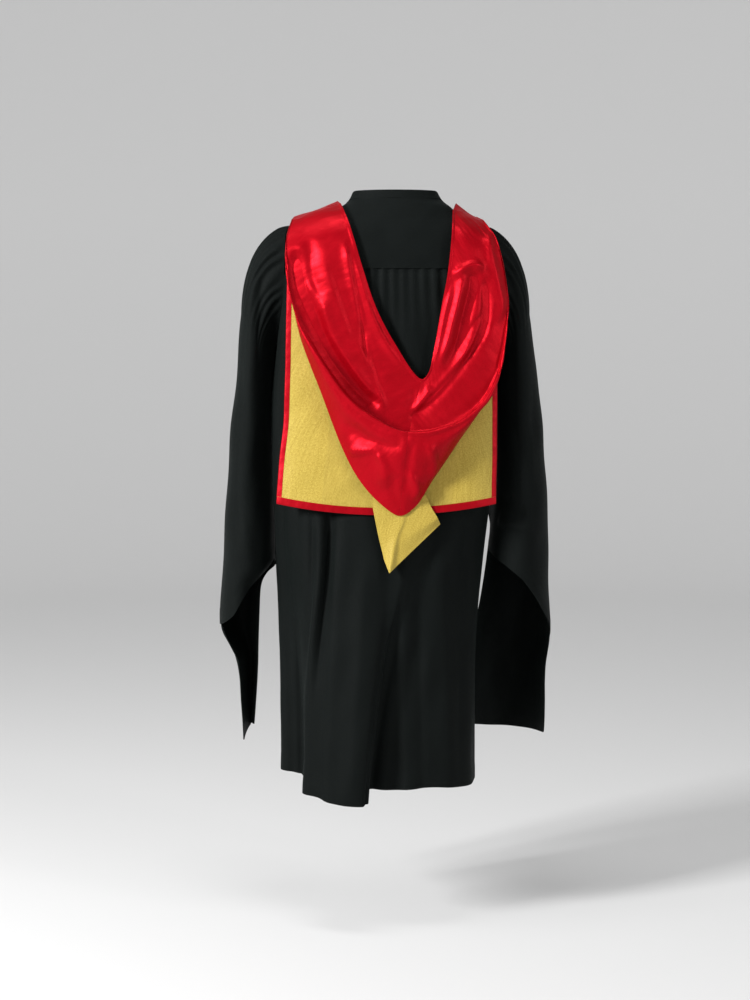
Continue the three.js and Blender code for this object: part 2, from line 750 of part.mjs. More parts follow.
// Across the lining, from its neck edge (row 0) over the pocket and the lip to the point's edge
function liningPoint(share, across) {
  const neck = { x: read(neckEdge, "share", "x", share), z: read(neckEdge, "share", "z", share) };
  const lip = { x: read(lipEdge, "share", "x", share), z: read(lipEdge, "share", "z", share) };
  const stand = read(lipEdge, "share", "stand", share);
  const end = { x: read(pointEdge, "share", "x", share), z: read(pointEdge, "share", "z", share) };
  const turned = ease(5, 14, stand);
  const overTail = ease(0.4, 0.47, share) * ease(0.6, 0.53, share);
  const endLift = lerp(bindingLift + hoodCloth + 1, pointLift, overTail);
  const toLip = (t) => ({ x: lerp(neck.x, lip.x, t), z: lerp(neck.z, lip.z, t) });
  const toEnd = (t) => ({ x: lerp(lip.x, end.x, t), z: lerp(lip.z, end.z, t) });
  const row = (at, place, drop, lift) => ({ across: at, x: place.x, z: place.z - drop * stand, lift });
  const pocket = { x: toLip(lerp(0.86, 0.95, turned)).x, z: toLip(0.9).z };
  const profile = [
    row(0.0, neck, 0, neckEdgeLift),
    row(0.2, toLip(0.34), 0, cowlLift),
    row(0.38, toLip(0.68), 0, cowlLift + 0.08 * stand),
    row(0.52, pocket, 0.5, cowlLift + 0.25 * stand),
    row(0.6, lip, 0.26, cowlLift + 0.74 * stand),
    row(0.66, lip, 0, cowlLift + stand + 2 * turned),
    row(0.73, toEnd(0.12), 0.1, cowlLift + 1.08 * stand + 2 * turned),
    row(0.86, toEnd(0.55), 0, lerp(cowlLift + stand, endLift, 0.45) + 0.12 * stand),
    row(1.0, end, 0, endLift),
  ];
  const x = read(profile, "across", "x", across);
  const z = read(profile, "across", "z", across);
  return onHoodBack(x, z, read(profile, "across", "lift", across));
}

function addLining(name, firstShare, lastShare) {
  const columns = 12;
  const rows = [0, 0.1, 0.2, 0.3, 0.4, 0.48, 0.54, 0.6, 0.66, 0.72, 0.8, 0.9, 1];
  const grid = rows.map((across) => {
    const row = [];
    for (let j = 0; j <= columns; j += 1) {
      row.push(liningPoint(lerp(firstShare, lastShare, j / columns), across));
    }
    return row;
  });
  addSatinPiece(name, clothWall(grid, hoodCloth));
}

function addLiripipe() {
  const grid = liripipeRibs.map((rib) => {
    const left = onHoodBack(rib.left[0], rib.left[1], liripipeLift);
    const crease = onHoodBack(rib.crease[0], rib.crease[1], liripipeLift + liripipeCrease * 0.2);
    const right = onHoodBack(rib.right[0], rib.right[1], liripipeLift);
    return [left, crease, crease.clone().lerp(right, 0.5), right];
  });
  addGoldPiece("hood_liripipe", clothWall(grid, hoodCloth));
}

// The height at which the form's shoulder is x wide at this angle
function shoulderHeight(x, angle) {
  let high = -6;
  let low = -140;
  for (let k = 0; k < 24; k += 1) {
    const middle = (high + low) / 2;
    if (Math.abs(formPoint(angle, middle).x) < Math.abs(x)) high = middle;
    else low = middle;
  }
  return (high + low) / 2;
}

// One neck band: from the lining's top edge over the shoulder, then down the front to the middle
function addBand(name, side, path) {
  const shoulderShare = side > 0 ? 0 : 1;
  const grid = [];
  const first = [0.66, 0.44, 0.22, 0].map((across) => liningPoint(shoulderShare, across));
  grid.push(first.map((point) => point.add(new THREE.Vector3(0, -bandStart, 0))));
  for (let i = 1; i <= ridgeRows; i += 1) {
    const t = i / ridgeRows;
    const angle = side * lerp(bandBackAngle, bandFrontAngle, t);
    grid.push(first.map((start, k) => {
      const ahead = bandMiddle + side * (path[0].x + path[0].width * (0.5 - k / 3));
      const x = clamp(lerp(start.x, ahead, t * 0.8), -bandReach, bandReach);
      const z = shoulderHeight(x, angle);
      const lift = bandLift + bandShoulderLift * lerp(1.6, 1, t);
      return formPoint(angle, z).addScaledVector(formNormal(angle, z), lift);
    }));
  }
  for (let i = 1; i <= bandRows; i += 1) {
    const share = i / bandRows;
    const z = read(path, "share", "z", share);
    const away = read(path, "share", "x", share);
    const width = read(path, "share", "width", share);
    const drop = read(path, "share", "drop", share);
    const lift = bandLift + bandShoulderLift * ease(0.5, 0, share);
    grid.push([0.5, 0.17, -0.17, -0.5].map((offset) => (
      onFront(bandMiddle + side * (away + width * offset), z - offset * drop, lift)
    )));
  }
  addSatinPiece(name, clothWall(grid, hoodCloth));
}

addYoke();
addCollar();
addBack();
addFront("gown_front_left", 1, leftFrontHem);
addFront("gown_front_right", -1, rightFrontHem);
addSleeve("sleeve_left", 1, leftSleeve, leftSleeveEnd);
addSleeve("sleeve_right", -1, rightSleeve, rightSleeveEnd);
addCape();
addLining("hood_lining_left", 0, 0.4985);
addLining("hood_lining_right", 0.5015, 1);
addLiripipe();
addBand("hood_band_left", 1, leftBand);
addBand("hood_band_right", -1, rightBand);

export default gown;
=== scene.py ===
# A black graduation gown worn with its red and gold hood, seen from behind.
# Cloth is worked out in millimetres, +Z up. The gown's front faces -Y and the wearer's left is +X.
import math

import bpy
import numpy as np
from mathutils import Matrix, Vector


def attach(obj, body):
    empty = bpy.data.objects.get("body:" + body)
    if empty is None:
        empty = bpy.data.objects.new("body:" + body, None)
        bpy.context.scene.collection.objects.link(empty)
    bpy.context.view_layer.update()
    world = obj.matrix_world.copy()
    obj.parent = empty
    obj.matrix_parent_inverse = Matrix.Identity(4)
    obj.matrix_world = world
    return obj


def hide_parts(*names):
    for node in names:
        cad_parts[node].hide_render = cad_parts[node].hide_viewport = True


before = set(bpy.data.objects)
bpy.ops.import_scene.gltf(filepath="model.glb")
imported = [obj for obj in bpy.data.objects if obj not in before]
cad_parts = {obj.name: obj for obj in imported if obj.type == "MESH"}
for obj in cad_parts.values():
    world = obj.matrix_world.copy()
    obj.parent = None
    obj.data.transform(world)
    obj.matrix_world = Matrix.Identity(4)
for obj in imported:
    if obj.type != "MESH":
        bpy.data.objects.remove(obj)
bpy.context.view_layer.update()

MM = 0.001

# Camera, where the photograph was taken from
CAMERA_PLACE = (0.021, 4.2, -0.30)
CAMERA_AIM = (0.021, 0.0, -0.625)
CAMERA_LENS = 72.79
FLOOR_HEIGHT = -1.504

# Lights: name, place, target, size and power
LIGHTS = (
    ("key", (3.2, 2.3, 1.1), (0, 0, -0.45), (0.8, 1.2), 300),
    ("fill", (-3.0, 2.4, 0.3), (0, 0, -0.6), (0.5, 2.2), 40),
    ("top", (0.3, 0.7, 3.0), (0, 0, -0.4), (1.6, 0.7), 45),
)
AIR_STRENGTH = 0.2

# Colours, each pair from dark to light
BLACKS = (0.0018, 0.0027, 0.0025), (0.0034, 0.0048, 0.0045)
REDS = (0.31, 0.0007, 0.0045), (0.41, 0.0012, 0.008)
RIBBON_REDS = (0.27, 0.0006, 0.004), (0.36, 0.001, 0.007)
GOLDS = (0.27, 0.185, 0.022), (0.50, 0.375, 0.075)
RED_GLOSS = (1.0, 0.3, 0.36, 1)

# Cloth: thicknesses, gaps at seams and the turned hem
GOWN_CLOTH = 1.1
HOOD_CLOTH = 0.9
SEAM_GAP = 0.4
SEAM_LAP = 1.2
HEM_TURNING = 32
HEM_EXTRA = 1.0
COLLAR_CLOTH = GOWN_CLOTH + 0.8
LIRIPIPE_CLOTH = HOOD_CLOTH + 0.5
RIBBON_THICKNESS = 0.5
RIBBON_HALF = 0.85

# Panels run up under the yoke. Small pleats at their tops open out over the pleat length.
UNDER_YOKE = 9
PLEAT_LENGTH = 150
BACK_PLEATS = 30
BACK_PLEAT_DEPTH = 2.0
BACK_PRESS = 2.6
FRONT_PLEATS = 9
FRONT_PLEAT_DEPTH = 1.6
FRONT_PRESS = 2.2
BACK_FOLD_DEPTH = 1.4

# Sleeves: the gathered head ends at the join, and the tuck draws the inner side in beside the body
SLEEVE_PLEATS = 30
SLEEVE_PLEAT_DEPTH = 2.0
SLEEVE_JOIN_LOW = -345
SLEEVE_JOIN_HIGH = -240
SLEEVE_FRONT_DROP = 40
SLEEVE_TUCK = 15
SLEEVE_TUCK_TURN = math.radians(215)
SLEEVE_TUCK_WIDTH = math.radians(25)
LEFT_TUCK_END = -800
RIGHT_TUCK_END = -695

# Armhole: an oval on the side of the body, from the shoulder point to the underarm
ARMHOLE_TOP = -60
ARMHOLE_HEIGHT = 240
ARMHOLE_MIDDLE = ARMHOLE_TOP - ARMHOLE_HEIGHT / 2
ARMHOLE_HALF_ANGLE = 0.45
ARMHOLE_STEPS = 24
YOKE_BACK_STEP = 5
YOKE_FRONT_STEP = 4

# Neck and front opening
NECKLINE_HEIGHT = -5
NECKLINE_FRONT_DIP = 26
COLLAR_RISE = 17
FRONT_GAP_HALF = 66
HEM_LEVEL = -1212
HIP_LEVEL = -540
HEM_END = -1230

# Layers of the hood, each counted from the gown's back to the middle of the cloth
CAPE_LIFT = 4
CAPE_TOP_LIFT = 2
NECK_EDGE_LIFT = 10
COWL_LIFT = 14
BINDING_LIFT = 8
LIRIPIPE_LIFT = 10.5
POINT_LIFT = 16.5
BAND_LIFT = 3.1
BAND_SHOULDER_LIFT = 7
HOOD_FLARE = 34
HOOD_SQUARE = 1
HOOD_HANG = 9
FOLD_DEPTH = 2.2
LEAST_ROOM = 4.5
HOOD_SIDEWAYS = 0.2
SIDE_BINDING = 10
BOTTOM_BINDING = 14
CAPE_SAG = 22


def table(names, *rows):
    """A short table: one array of numbers for each named column."""
    values = np.array(rows, dtype=float)
    return {name: values[:, k] for k, name in enumerate(names.split())}


# Level sections of the body form: half sizes to each side of the origin, and how square it is
BODY = table(
    "z left right back front square",
    (20, 62, 102, 48, 46, 2.0),
    (-6, 74, 116, 60, 56, 2.0),
    (-20, 92, 134, 72, 66, 2.05),
    (-34, 124, 150, 82, 76, 2.1),
    (-48, 168, 172, 90, 84, 2.2),
    (-60, 194, 194, 97, 90, 2.35),
    (-80, 205, 206, 104, 97, 2.6),
    (-130, 210, 212, 112, 106, 2.9),
    (-200, 214, 218, 114, 112, 3.1),
    (-300, 223, 228, 112, 116, 3.2),
    (-450, 235, 234, 106, 114, 3.1),
    (-560, 235, 229, 108, 112, 3.0),
    (-650, 231, 218, 114, 112, 2.9),
    (-760, 230, 207, 120, 114, 2.8),
    (-1000, 223, 187, 130, 120, 2.7),
    (-1240, 220, 184, 138, 126, 2.7),
)

# Hems, from the side seam (share 0) to the other seam or the front edge (share 1)
BACK_HEM = table(
    "share x y z",
    (0.0, 221, -62, -1200),
    (0.05, 221, -30, -1199),
    (0.1, 209, -9, -1199),
    (0.15, 189, -4, -1200),
    (0.2, 173, 8, -1203),
    (0.25, 165, 60, -1212),
    (0.31, 162, 116, -1217),
    (0.37, 139, 145, -1221),
    (0.44, 110, 162, -1229),
    (0.5, 78, 173, -1233),
    (0.56, 46, 178, -1234),
    (0.6, 35, 166, -1230),
    (0.63, 38, 138, -1218),
    (0.66, 26, 122, -1210),
    (0.73, -4, 122, -1211),
    (0.8, -50, 128, -1209),
    (0.87, -100, 120, -1206),
    (0.93, -150, 98, -1210),
    (0.97, -178, 62, -1212),
    (1.0, -188, 10, -1208),
)
LEFT_FRONT_HEM = table(
    "share x y z",
    (0.0, 221, -62, -1200),
    (0.25, 210, -100, -1206),
    (0.5, 168, -122, -1212),
    (0.75, 120, -138, -1216),
    (1.0, 72, -132, -1214),
)
RIGHT_FRONT_HEM = table(
    "share x y z",
    (0.0, -188, 10, -1208),
    (0.25, -186, -58, -1210),
    (0.5, -152, -112, -1212),
    (0.75, -104, -136, -1216),
    (1.0, -56, -132, -1214),
)

# Broad troughs between the flutes of the back
BACK_FLUTES = table(
    "top hem width depth",
    (0.2, 0.1, 0.035, 9),
    (0.27, 0.2, 0.03, 12),
    (0.345, 0.4, 0.028, 15),
    (0.5, 0.64, 0.04, 10),
    (0.62, 0.76, 0.03, 6),
    (0.78, 0.86, 0.04, 8),
)

# Sleeve sections: distance from the centre plane, and depth behind and before it
LEFT_SLEEVE = table(
    "z outer inner back front",
    (-230, 295, 224, 66, 62),
    (-270, 300, 228, 66, 68),
    (-375, 309, 236, 68, 82),
    (-500, 323, 242, 64, 102),
    (-625, 333, 238, 58, 130),
    (-750, 340, 236, 52, 150),
    (-809, 343, 264, 48, 158),
    (-892, 348, 268, 44, 164),
    (-917, 342, 269, 42, 165),
    (-940, 326, 270, 40, 165),
    (-980, 312, 271, 38, 164),
    (-1064, 306, 276, 36, 162),
    (-1150, 303, 282, 36, 160),
)
RIGHT_SLEEVE = table(
    "z outer inner back front",
    (-230, 296, 229, 66, 62),
    (-270, 303, 232, 66, 68),
    (-375, 316, 237, 68, 82),
    (-500, 331, 238, 64, 102),
    (-625, 340, 230, 58, 130),
    (-700, 343, 221, 54, 145),
    (-750, 345, 216, 52, 154),
    (-860, 348, 199, 48, 164),
    (-917, 349, 184, 46, 172),
    (-1000, 342, 166, 44, 176),
    (-1135, 345, 152, 42, 176),
)

# Where the sleeves end, by angle: 0 outside, 90 behind, 180 inside, 270 in front
LEFT_SLEEVE_END = table(
    "angle z",
    (0, -892),
    (30, -886),
    (75, -864),
    (120, -808),
    (150, -774),
    (180, -752),
    (195, -905),
    (210, -1118),
    (270, -1126),
    (330, -1142),
    (345, -1148),
    (360, -892),
)
RIGHT_SLEEVE_END = table(
    "angle z",
    (0, -917),
    (30, -872),
    (60, -824),
    (90, -782),
    (135, -748),
    (180, -731),
    (195, -900),
    (210, -1118),
    (270, -1132),
    (330, -1134),
    (345, -1133),
    (360, -917),
)

# Hood curves seen from behind, from the left shoulder (share 0) to the right one (share 1)
NECK_EDGE = table(
    "share x z",
    (0.0, 90, -25),
    (0.1, 70, -72),
    (0.2, 48, -142),
    (0.3, 22, -220),
    (0.4, -18, -298),
    (0.5, -74, -371),
    (0.54, -88, -356),
    (0.6, -99, -306),
    (0.7, -113, -224),
    (0.8, -125, -158),
    (0.9, -133, -84),
    (1.0, -136, -38),
)
LIP_EDGE = table(
    "share x z stand",
    (0.0, 188, -64, 4),
    (0.08, 198, -108, 5),
    (0.17, 195, -172, 7),
    (0.26, 176, -249, 12),
    (0.35, 122, -347, 24),
    (0.43, 51, -432, 38),
    (0.5, -45, -478, 48),
    (0.57, -127, -467, 42),
    (0.65, -199, -413, 28),
    (0.74, -234, -330, 14),
    (0.83, -242, -230, 9),
    (0.92, -228, -120, 7),
    (1.0, -198, -66, 4),
)
POINT_EDGE = table(
    "share x z",
    (0.0, 191, -74),
    (0.08, 201, -122),
    (0.17, 191, -190),
    (0.26, 174, -275),
    (0.35, 128, -402),
    (0.43, 78, -530),
    (0.47, 34, -600),
    (0.5, -28, -648),
    (0.53, -58, -632),
    (0.57, -95, -576),
    (0.65, -146, -500),
    (0.74, -212, -392),
    (0.83, -240, -250),
    (0.92, -229, -136),
    (1.0, -200, -78),
)

# Cape outline: the left and right edges, from shoulder to corner
CAPE_LEFT = table(
    "z x",
    (-66, 186),
    (-110, 195),
    (-212, 198),
    (-333, 201),
    (-454, 205),
    (-536, 213),
    (-624, 219),
)
CAPE_RIGHT = table(
    "z x",
    (-68, -190),
    (-120, -212),
    (-230, -222),
    (-414, -226),
    (-556, -225),
    (-624, -223),
)

# Liripipe ribs: left edge, crease and right edge, from under the point to the tail's end
LIRIPIPE = table(
    "share left_x left_z crease_x crease_z right_x right_z",
    (0.0, 30, -606, -40, -612, -82, -606),
    (0.33, 24, -640, -37, -652, -93, -632),
    (0.67, 14, -690, -20, -698, -104, -650),
    (1.0, 3, -735, -8, -763, -111, -665),
)

# Front neck bands: the middle seen from the front, the width across, and how far the outside drops
LEFT_BAND = table(
    "share z x width drop",
    (0.0, -52, 148, 92, 34),
    (0.3, -98, 114, 58, 36),
    (0.65, -170, 60, 36, 40),
    (1.0, -245, 0.35, 0, 54),
)
RIGHT_BAND = table(
    "share z x width drop",
    (0.0, -56, 156, 60, 26),
    (0.3, -98, 116, 50, 34),
    (0.65, -170, 60, 36, 40),
    (1.0, -245, 0.35, 0, 54),
)
BAND_MIDDLE = -10

# Folds laid on the cloth, listed one by one. Each row: height, width on one side of the line, width on the
# other,
# how soon it fades at the start and at the end, then its line as x and z seen from behind.
HOOD_FOLDS = [
    (-6.0, 14, 11, 0.15, 0.1, [(180, -108), (172, -178), (141, -252), (103, -326), (58, -384), (8, -430)]),
    (3.6, 10, 16, 0.3, 0.3, [(169, -172), (128, -212), (112, -268), (74, -334), (29, -401), (4, -434)]),
    (-3.2, 5, 9, 0.3, 0.2, [(78, -118), (62, -178), (45, -268), (33, -334), (4, -412)]),
    (3.4, 9, 6, 0.25, 0.35, [(84, -92), (68, -161), (49, -235), (42, -280)]),
    (2.6, 5, 6, 0.3, 0.3, [(42, -262), (32, -334), (12, -397), (2, -436)]),
    (3.0, 9, 9, 0.25, 0.3, [(70, -92), (50, -165), (30, -235), (-2, -301), (-50, -362)]),
    (2.6, 22, 16, 0.3, 0.35, [(128, -99), (114, -169), (91, -235), (54, -318), (12, -388)]),
    (-2.6, 14, 12, 0.3, 0.3, [(150, -90), (148, -160), (120, -230)]),
    (4.2, 9, 7, 0.3, 0.3, [(-134, -168), (-158, -149), (-178, -143), (-199, -152)]),
    (-5.0, 11, 12, 0.12, 0.35, [(-178, -156), (-176, -190), (-164, -235), (-150, -293), (-118, -360)]),
    (4.0, 9, 9, 0.25, 0.3, [(-158, -157), (-145, -219), (-124, -301), (-104, -356)]),
    (-5.0, 10, 8, 0.2, 0.3, [(-201, -165), (-204, -231), (-196, -276), (-162, -326)]),
    (3.2, 8, 10, 0.2, 0.3, [(-205, -87), (-208, -118), (-220, -169), (-231, -227), (-222, -266)]),
    (-3.6, 6, 10, 0.25, 0.15, [(-208, -270), (-162, -328), (-121, -378), (-79, -422), (-46, -456)]),
    (3.4, 9, 6, 0.25, 0.2, [(-194, -262), (-150, -340), (-106, -396), (-60, -438)]),
    (-1.1, 5, 9, 0.4, 0.4, [(158, -206), (124, -256), (88, -300), (56, -346)]),
    (-1.0, 5, 8, 0.4, 0.4, [(118, -130), (96, -190), (74, -256), (60, -310)]),
    (1.2, 8, 5, 0.4, 0.4, [(62, -290), (38, -330), (12, -378)]),
    (-1.3, 7, 5, 0.4, 0.4, [(-132, -312), (-170, -270), (-206, -226)]),
    (2.4, 8, 8, 0.25, 0.3, [(-136, -178), (-118, -240), (-106, -301), (-96, -352)]),
    (-2.2, 9, 6, 0.4, 0.3, [(-60, -388), (-56, -412), (-46, -440)]),
    (2.2, 7, 8, 0.3, 0.3, [(-96, -384), (-76, -408), (-50, -446)]),
    (2.2, 4, 4, 0.15, 0.15, [
        (176, -249), (122, -347), (51, -432), (-45, -478), (-127, -467), (-199, -413), (-234, -330),
    ]),
    (-4.0, 14, 18, 0.25, 0.25, [(92, -452), (37, -494), (-13, -505), (-40, -506)]),
    (-3.4, 9, 6, 0.2, 0.3, [(-58, -492), (-48, -530), (-44, -574), (-36, -612)]),
    (2.4, 7, 10, 0.3, 0.3, [(14, -598), (-8, -570), (-22, -556)]),
    (4.2, 9, 7, 0.3, 0.3, [(-40, -552), (-62, -588), (-56, -624)]),
    (-2.6, 8, 8, 0.35, 0.3, [(-20, -552), (-16, -592), (-24, -632)]),
    (2.8, 4, 12, 0.3, 0.4, [(82, -524), (44, -517), (6, -511)]),
    (3.4, 10, 6, 0.3, 0.3, [(18, -514), (2, -546), (4, -590)]),
    (3.0, 8, 10, 0.3, 0.3, [(-84, -496), (-96, -540), (-88, -588)]),
]
SKIRT_FOLDS = [
    (4.0, 12, 12, 0.3, 0.0, [(181, -600), (181, -818), (183, -1023), (181, -1230)]),
    (-5.5, 9, 9, 0.25, 0.4, [(150, -600), (152, -737), (157, -859), (161, -1040)]),
    (4.5, 8, 10, 0.25, 0.0, [(132, -600), (134, -757), (149, -900), (159, -1064), (161, -1230)]),
    (-7.5, 8, 9, 0.2, 0.35, [(112, -600), (114, -696), (118, -777), (128, -859), (137, -941), (146, -1050)]),
    (5.0, 15, 15, 0.25, 0.0, [(92, -600), (98, -777), (106, -941), (115, -1105), (117, -1240)]),
    (-4.5, 13, 17, 0.35, 0.0, [(-9, -680), (-3, -859), (11, -1002), (27, -1126), (36, -1240)]),
    (3.2, 13, 16, 0.35, 0.0, [(-38, -700), (-38, -920), (-40, -1064), (-44, -1240)]),
    (-2.4, 12, 12, 0.35, 0.1, [(-72, -660), (-70, -900), (-73, -1064), (-77, -1240)]),
    (3.2, 18, 16, 0.3, 0.1, [(-106, -640), (-117, -859), (-123, -1023), (-128, -1240)]),
    (-3.4, 10, 14, 0.3, 0.2, [(-163, -640), (-160, -859), (-156, -1023), (-156, -1240)]),
    (2.4, 18, 18, 0.4, 0.2, [(40, -640), (48, -860), (60, -1060), (72, -1240)]),
]
FRONT_FOLDS = [
    (6.0, 14, 18, 0.3, 0.0, [(172, -330), (176, -640), (172, -940), (164, -1240)]),
    (-6.0, 12, 14, 0.35, 0.0, [(140, -380), (142, -640), (136, -940), (134, -1240)]),
    (5.0, 12, 14, 0.3, 0.0, [(106, -300), (108, -640), (104, -940), (100, -1240)]),
    (-3.0, 10, 12, 0.4, 0.1, [(84, -520), (84, -760), (80, -960), (84, -1240)]),
    (5.0, 14, 16, 0.3, 0.0, [(-168, -340), (-164, -640), (-150, -940), (-146, -1240)]),
    (-6.0, 12, 12, 0.35, 0.0, [(-136, -360), (-134, -640), (-122, -940), (-118, -1240)]),
    (4.0, 12, 14, 0.3, 0.0, [(-102, -300), (-102, -640), (-96, -940), (-88, -1240)]),
]
SLEEVE_FOLDS = [
    (3.0, 10, 12, 0.2, 0.4, [(262, -130), (274, -260), (276, -420), (270, -560)]),
    (-3.2, 9, 11, 0.2, 0.4, [(250, -140), (258, -270), (258, -420), (262, -560)]),
    (-3.0, 12, 12, 0.3, 0.3, [(292, -240), (296, -420), (304, -600), (300, -740)]),
    (3.2, 12, 14, 0.3, 0.3, [(300, -560), (290, -680), (274, -790)]),
    (3.0, 12, 12, 0.3, 0.3, [(-266, -140), (-276, -260), (-282, -420), (-284, -540)]),
    (-3.4, 10, 10, 0.3, 0.3, [(-252, -150), (-258, -300), (-262, -440), (-276, -560)]),
    (-5.0, 12, 14, 0.25, 0.25, [(-236, -612), (-262, -640), (-296, -652)]),
    (5.0, 10, 14, 0.25, 0.25, [(-232, -664), (-264, -672), (-306, -684)]),
    (-3.0, 12, 14, 0.3, 0.3, [(-306, -300), (-308, -460), (-318, -620)]),
]


def lerp(a, b, t):
    return a + (b - a) * t


def ease(low, high, value):
    t = np.clip((value - low) / (high - low), 0, 1)
    return t * t * (3 - 2 * t)


def read(rows, key, column, at):
    """One column of a table at places between its rows, along a curve that never overshoots."""
    xs, ys = rows[key], rows[column]
    if xs[-1] < xs[0]:
        xs, ys = xs[::-1], ys[::-1]
    at = np.clip(at, xs[0], xs[-1])
    step = np.diff(xs)
    slope = np.diff(ys) / step
    product = slope[1:] * slope[:-1]
    total = slope[1:] + slope[:-1]
    between = np.where(product > 0, 2 * product / np.where(total == 0, 1, total), 0)
    tangent = np.concatenate([slope[:1], between, slope[-1:]])
    i = np.clip(np.searchsorted(xs, at, side="right") - 1, 0, len(xs) - 2)
    t = (at - xs[i]) / step[i]
    bend = t * (1 - t) * step[i]
    lean = (tangent[i] - slope[i]) * (1 - t) - (tangent[i + 1] - slope[i]) * t
    return lerp(ys[i], ys[i + 1], t) + bend * lean


def read_all(rows, key, columns, at):
    return [read(rows, key, column, at) for column in columns.split()]


def unit(vectors):
    return vectors / np.maximum(np.linalg.norm(vectors, axis=-1, keepdims=True), 1e-9)


def points(x, y, z):
    return np.stack(np.broadcast_arrays(x, y, z), -1).astype(float)


def section(z, hood=False):
    """The middle, half sizes and squareness of the body form, or of the wider form of the hood."""
    left, right, back, front, square = read_all(BODY, "z", "left right back front square", z)
    spread = ease(-52, -115, z) if hood else 0
    wide = (left + right) / 2 + HOOD_FLARE * spread
    return (left - right) / 2, (back - front) / 2, wide, (back + front) / 2, square + HOOD_SQUARE * spread


def form_point(angle, z, hood=False):
    """A point on the form: angle 0 is behind, a quarter turn is at the wearer's left."""
    middle_x, middle_y, wide, deep, square = section(z, hood)
    s, c = np.sin(angle), np.cos(angle)
    reach = (np.abs(s) ** square + np.abs(c) ** square) ** (-1 / square)
    return points(middle_x + wide * reach * s, middle_y + deep * reach * c, z)


def form_normal(angle, z, hood=False):
    around = form_point(angle + 0.004, z, hood) - form_point(angle - 0.004, z, hood)
    up = form_point(angle, z + 1.0, hood) - form_point(angle, z - 1.0, hood)
    return unit(np.cross(up, around))


def side_angle(x, z, hood=False):
    """The angle from straight behind, or straight in front, of the place at x on the form."""
    middle_x, _, wide, _, square = section(z, hood)
    share = np.clip((x - middle_x) / wide, -0.995, 0.995)
    return np.arctan2(share, (1 - np.abs(share) ** square) ** (1 / square))


def on_hood_back(x, z, lift):
    angle = side_angle(x, z, True)
    away = np.asarray(lift + HOOD_HANG * ease(-420, -620, z))[..., None]
    backwards = unit(form_normal(angle, z, True) * (HOOD_SIDEWAYS, 1, 1))
    return form_point(angle, z, True) + backwards * away


def off_form(angle, z, lift):
    return form_point(angle, z) + form_normal(angle, z) * lift[..., None]


def on_front(x, z, lift):
    return off_form(math.pi - side_angle(x, z), z, lift)


def grid_normals(grid, closed=False, outward=None):
    """The direction away from the body at each point of a grid of cloth, rows down and columns across."""
    if closed:
        across = np.roll(grid, -1, 1) - np.roll(grid, 1, 1)
    else:
        across = np.gradient(grid, axis=1)
    along = np.gradient(grid, axis=0)
    normals = unit(np.cross(along, across))
    if closed:
        away = grid - grid.mean(1, keepdims=True)
    else:
        away = grid * (1, 1, 0) if outward is None else np.broadcast_to(np.array(outward), grid.shape)
    return normals if (normals * away).sum() > 0 else -normals


def smooth_line(line, steps=10):
    """A curve through a few points, as many short straight pieces."""
    p = np.array([line[0], *line, line[-1]], dtype=float)
    t = (np.arange(steps) / steps)[:, None]
    pieces = [
        0.5 * (2 * b + (c - a) * t + (2 * a - 5 * b + 4 * c - d) * t**2 + (3 * b - a - 3 * c + d) * t**3)
        for a, b, c, d in zip(p[:-3], p[1:-2], p[2:-1], p[3:])
    ]
    return np.concatenate([*pieces, p[-1:]])


def fold_height(x, z, folds):
    """How far the folds stand out, ridges up and troughs down, at places seen from behind."""
    total = np.zeros(x.shape)
    place = np.stack([x, z], -1)
    for height, one_side, other_side, fade_in, fade_out, line in folds:
        curve = smooth_line(line)
        nearest = np.full(x.shape, 1e9)
        side = np.zeros(x.shape)
        along = np.zeros(x.shape)
        for k in range(len(curve) - 1):
            a, b = curve[k], curve[k + 1]
            step = b - a
            t = np.clip(((place - a) @ step) / (step @ step), 0, 1)
            offset = place - a - t[..., None] * step
            distance = np.hypot(offset[..., 0], offset[..., 1])
            closer = distance < nearest
            nearest = np.where(closer, distance, nearest)
            turn = step[0] * (place[..., 1] - a[1]) - step[1] * (place[..., 0] - a[0])
            side = np.where(closer, turn, side)
            along = np.where(closer, (k + t) / (len(curve) - 1), along)
        width = np.where(side > 0, one_side, other_side)
        strength = ease(0, fade_in, along) if fade_in else 1.0
        if fade_out:
            strength = strength * ease(1, 1 - fade_out, along)
        total += height * strength * np.exp(-((nearest / width) ** 1.8))
    return total


def unevenness(x, z, size):
    """A gentle, fixed waviness of about one unit, made of waves in several directions."""
    waves = table(
        "turn length phase",
        (0.3, 1.0, 0.4),
        (1.4, 1.37, 2.1),
        (2.3, 0.83, 4.0),
        (2.9, 1.71, 1.2),
        (0.9, 0.61, 5.2),
    )
    total = np.zeros(np.shape(x))
    for turn, length, phase in zip(waves["turn"], waves["length"], waves["phase"]):
        total = total + np.sin((x * np.cos(turn) + z * np.sin(turn)) * 2 * math.pi / (size * length) + phase)
    return total / 3


def moved_out(grid, height, closed=False, outward=None):
    return grid + grid_normals(grid, closed, outward) * np.asarray(height)[..., None]


def flat_lengths(grid):
    """Each point's place on the cloth laid flat: across from the middle column, and down."""
    across = np.linalg.norm(np.diff(grid, axis=1), axis=-1)
    down = np.linalg.norm(np.diff(grid, axis=0), axis=-1)
    u = np.concatenate([np.zeros((len(grid), 1)), np.cumsum(across, 1)], 1)
    v = np.concatenate([np.zeros((1, grid.shape[1])), np.cumsum(down, 0)], 0)
    middle = grid.shape[1] // 2
    return (u - u[:, middle : middle + 1]) * MM, -v * MM


def placed(name, data):
    thing = bpy.data.objects.new(name, data)
    bpy.context.scene.collection.objects.link(thing)
    return thing


def smooth_mesh(name, corners, faces, material):
    mesh = bpy.data.meshes.new(name)
    mesh.from_pydata(corners, [], faces)
    mesh.polygons.foreach_set("use_smooth", [True] * len(faces))
    mesh.materials.append(material)
    return mesh


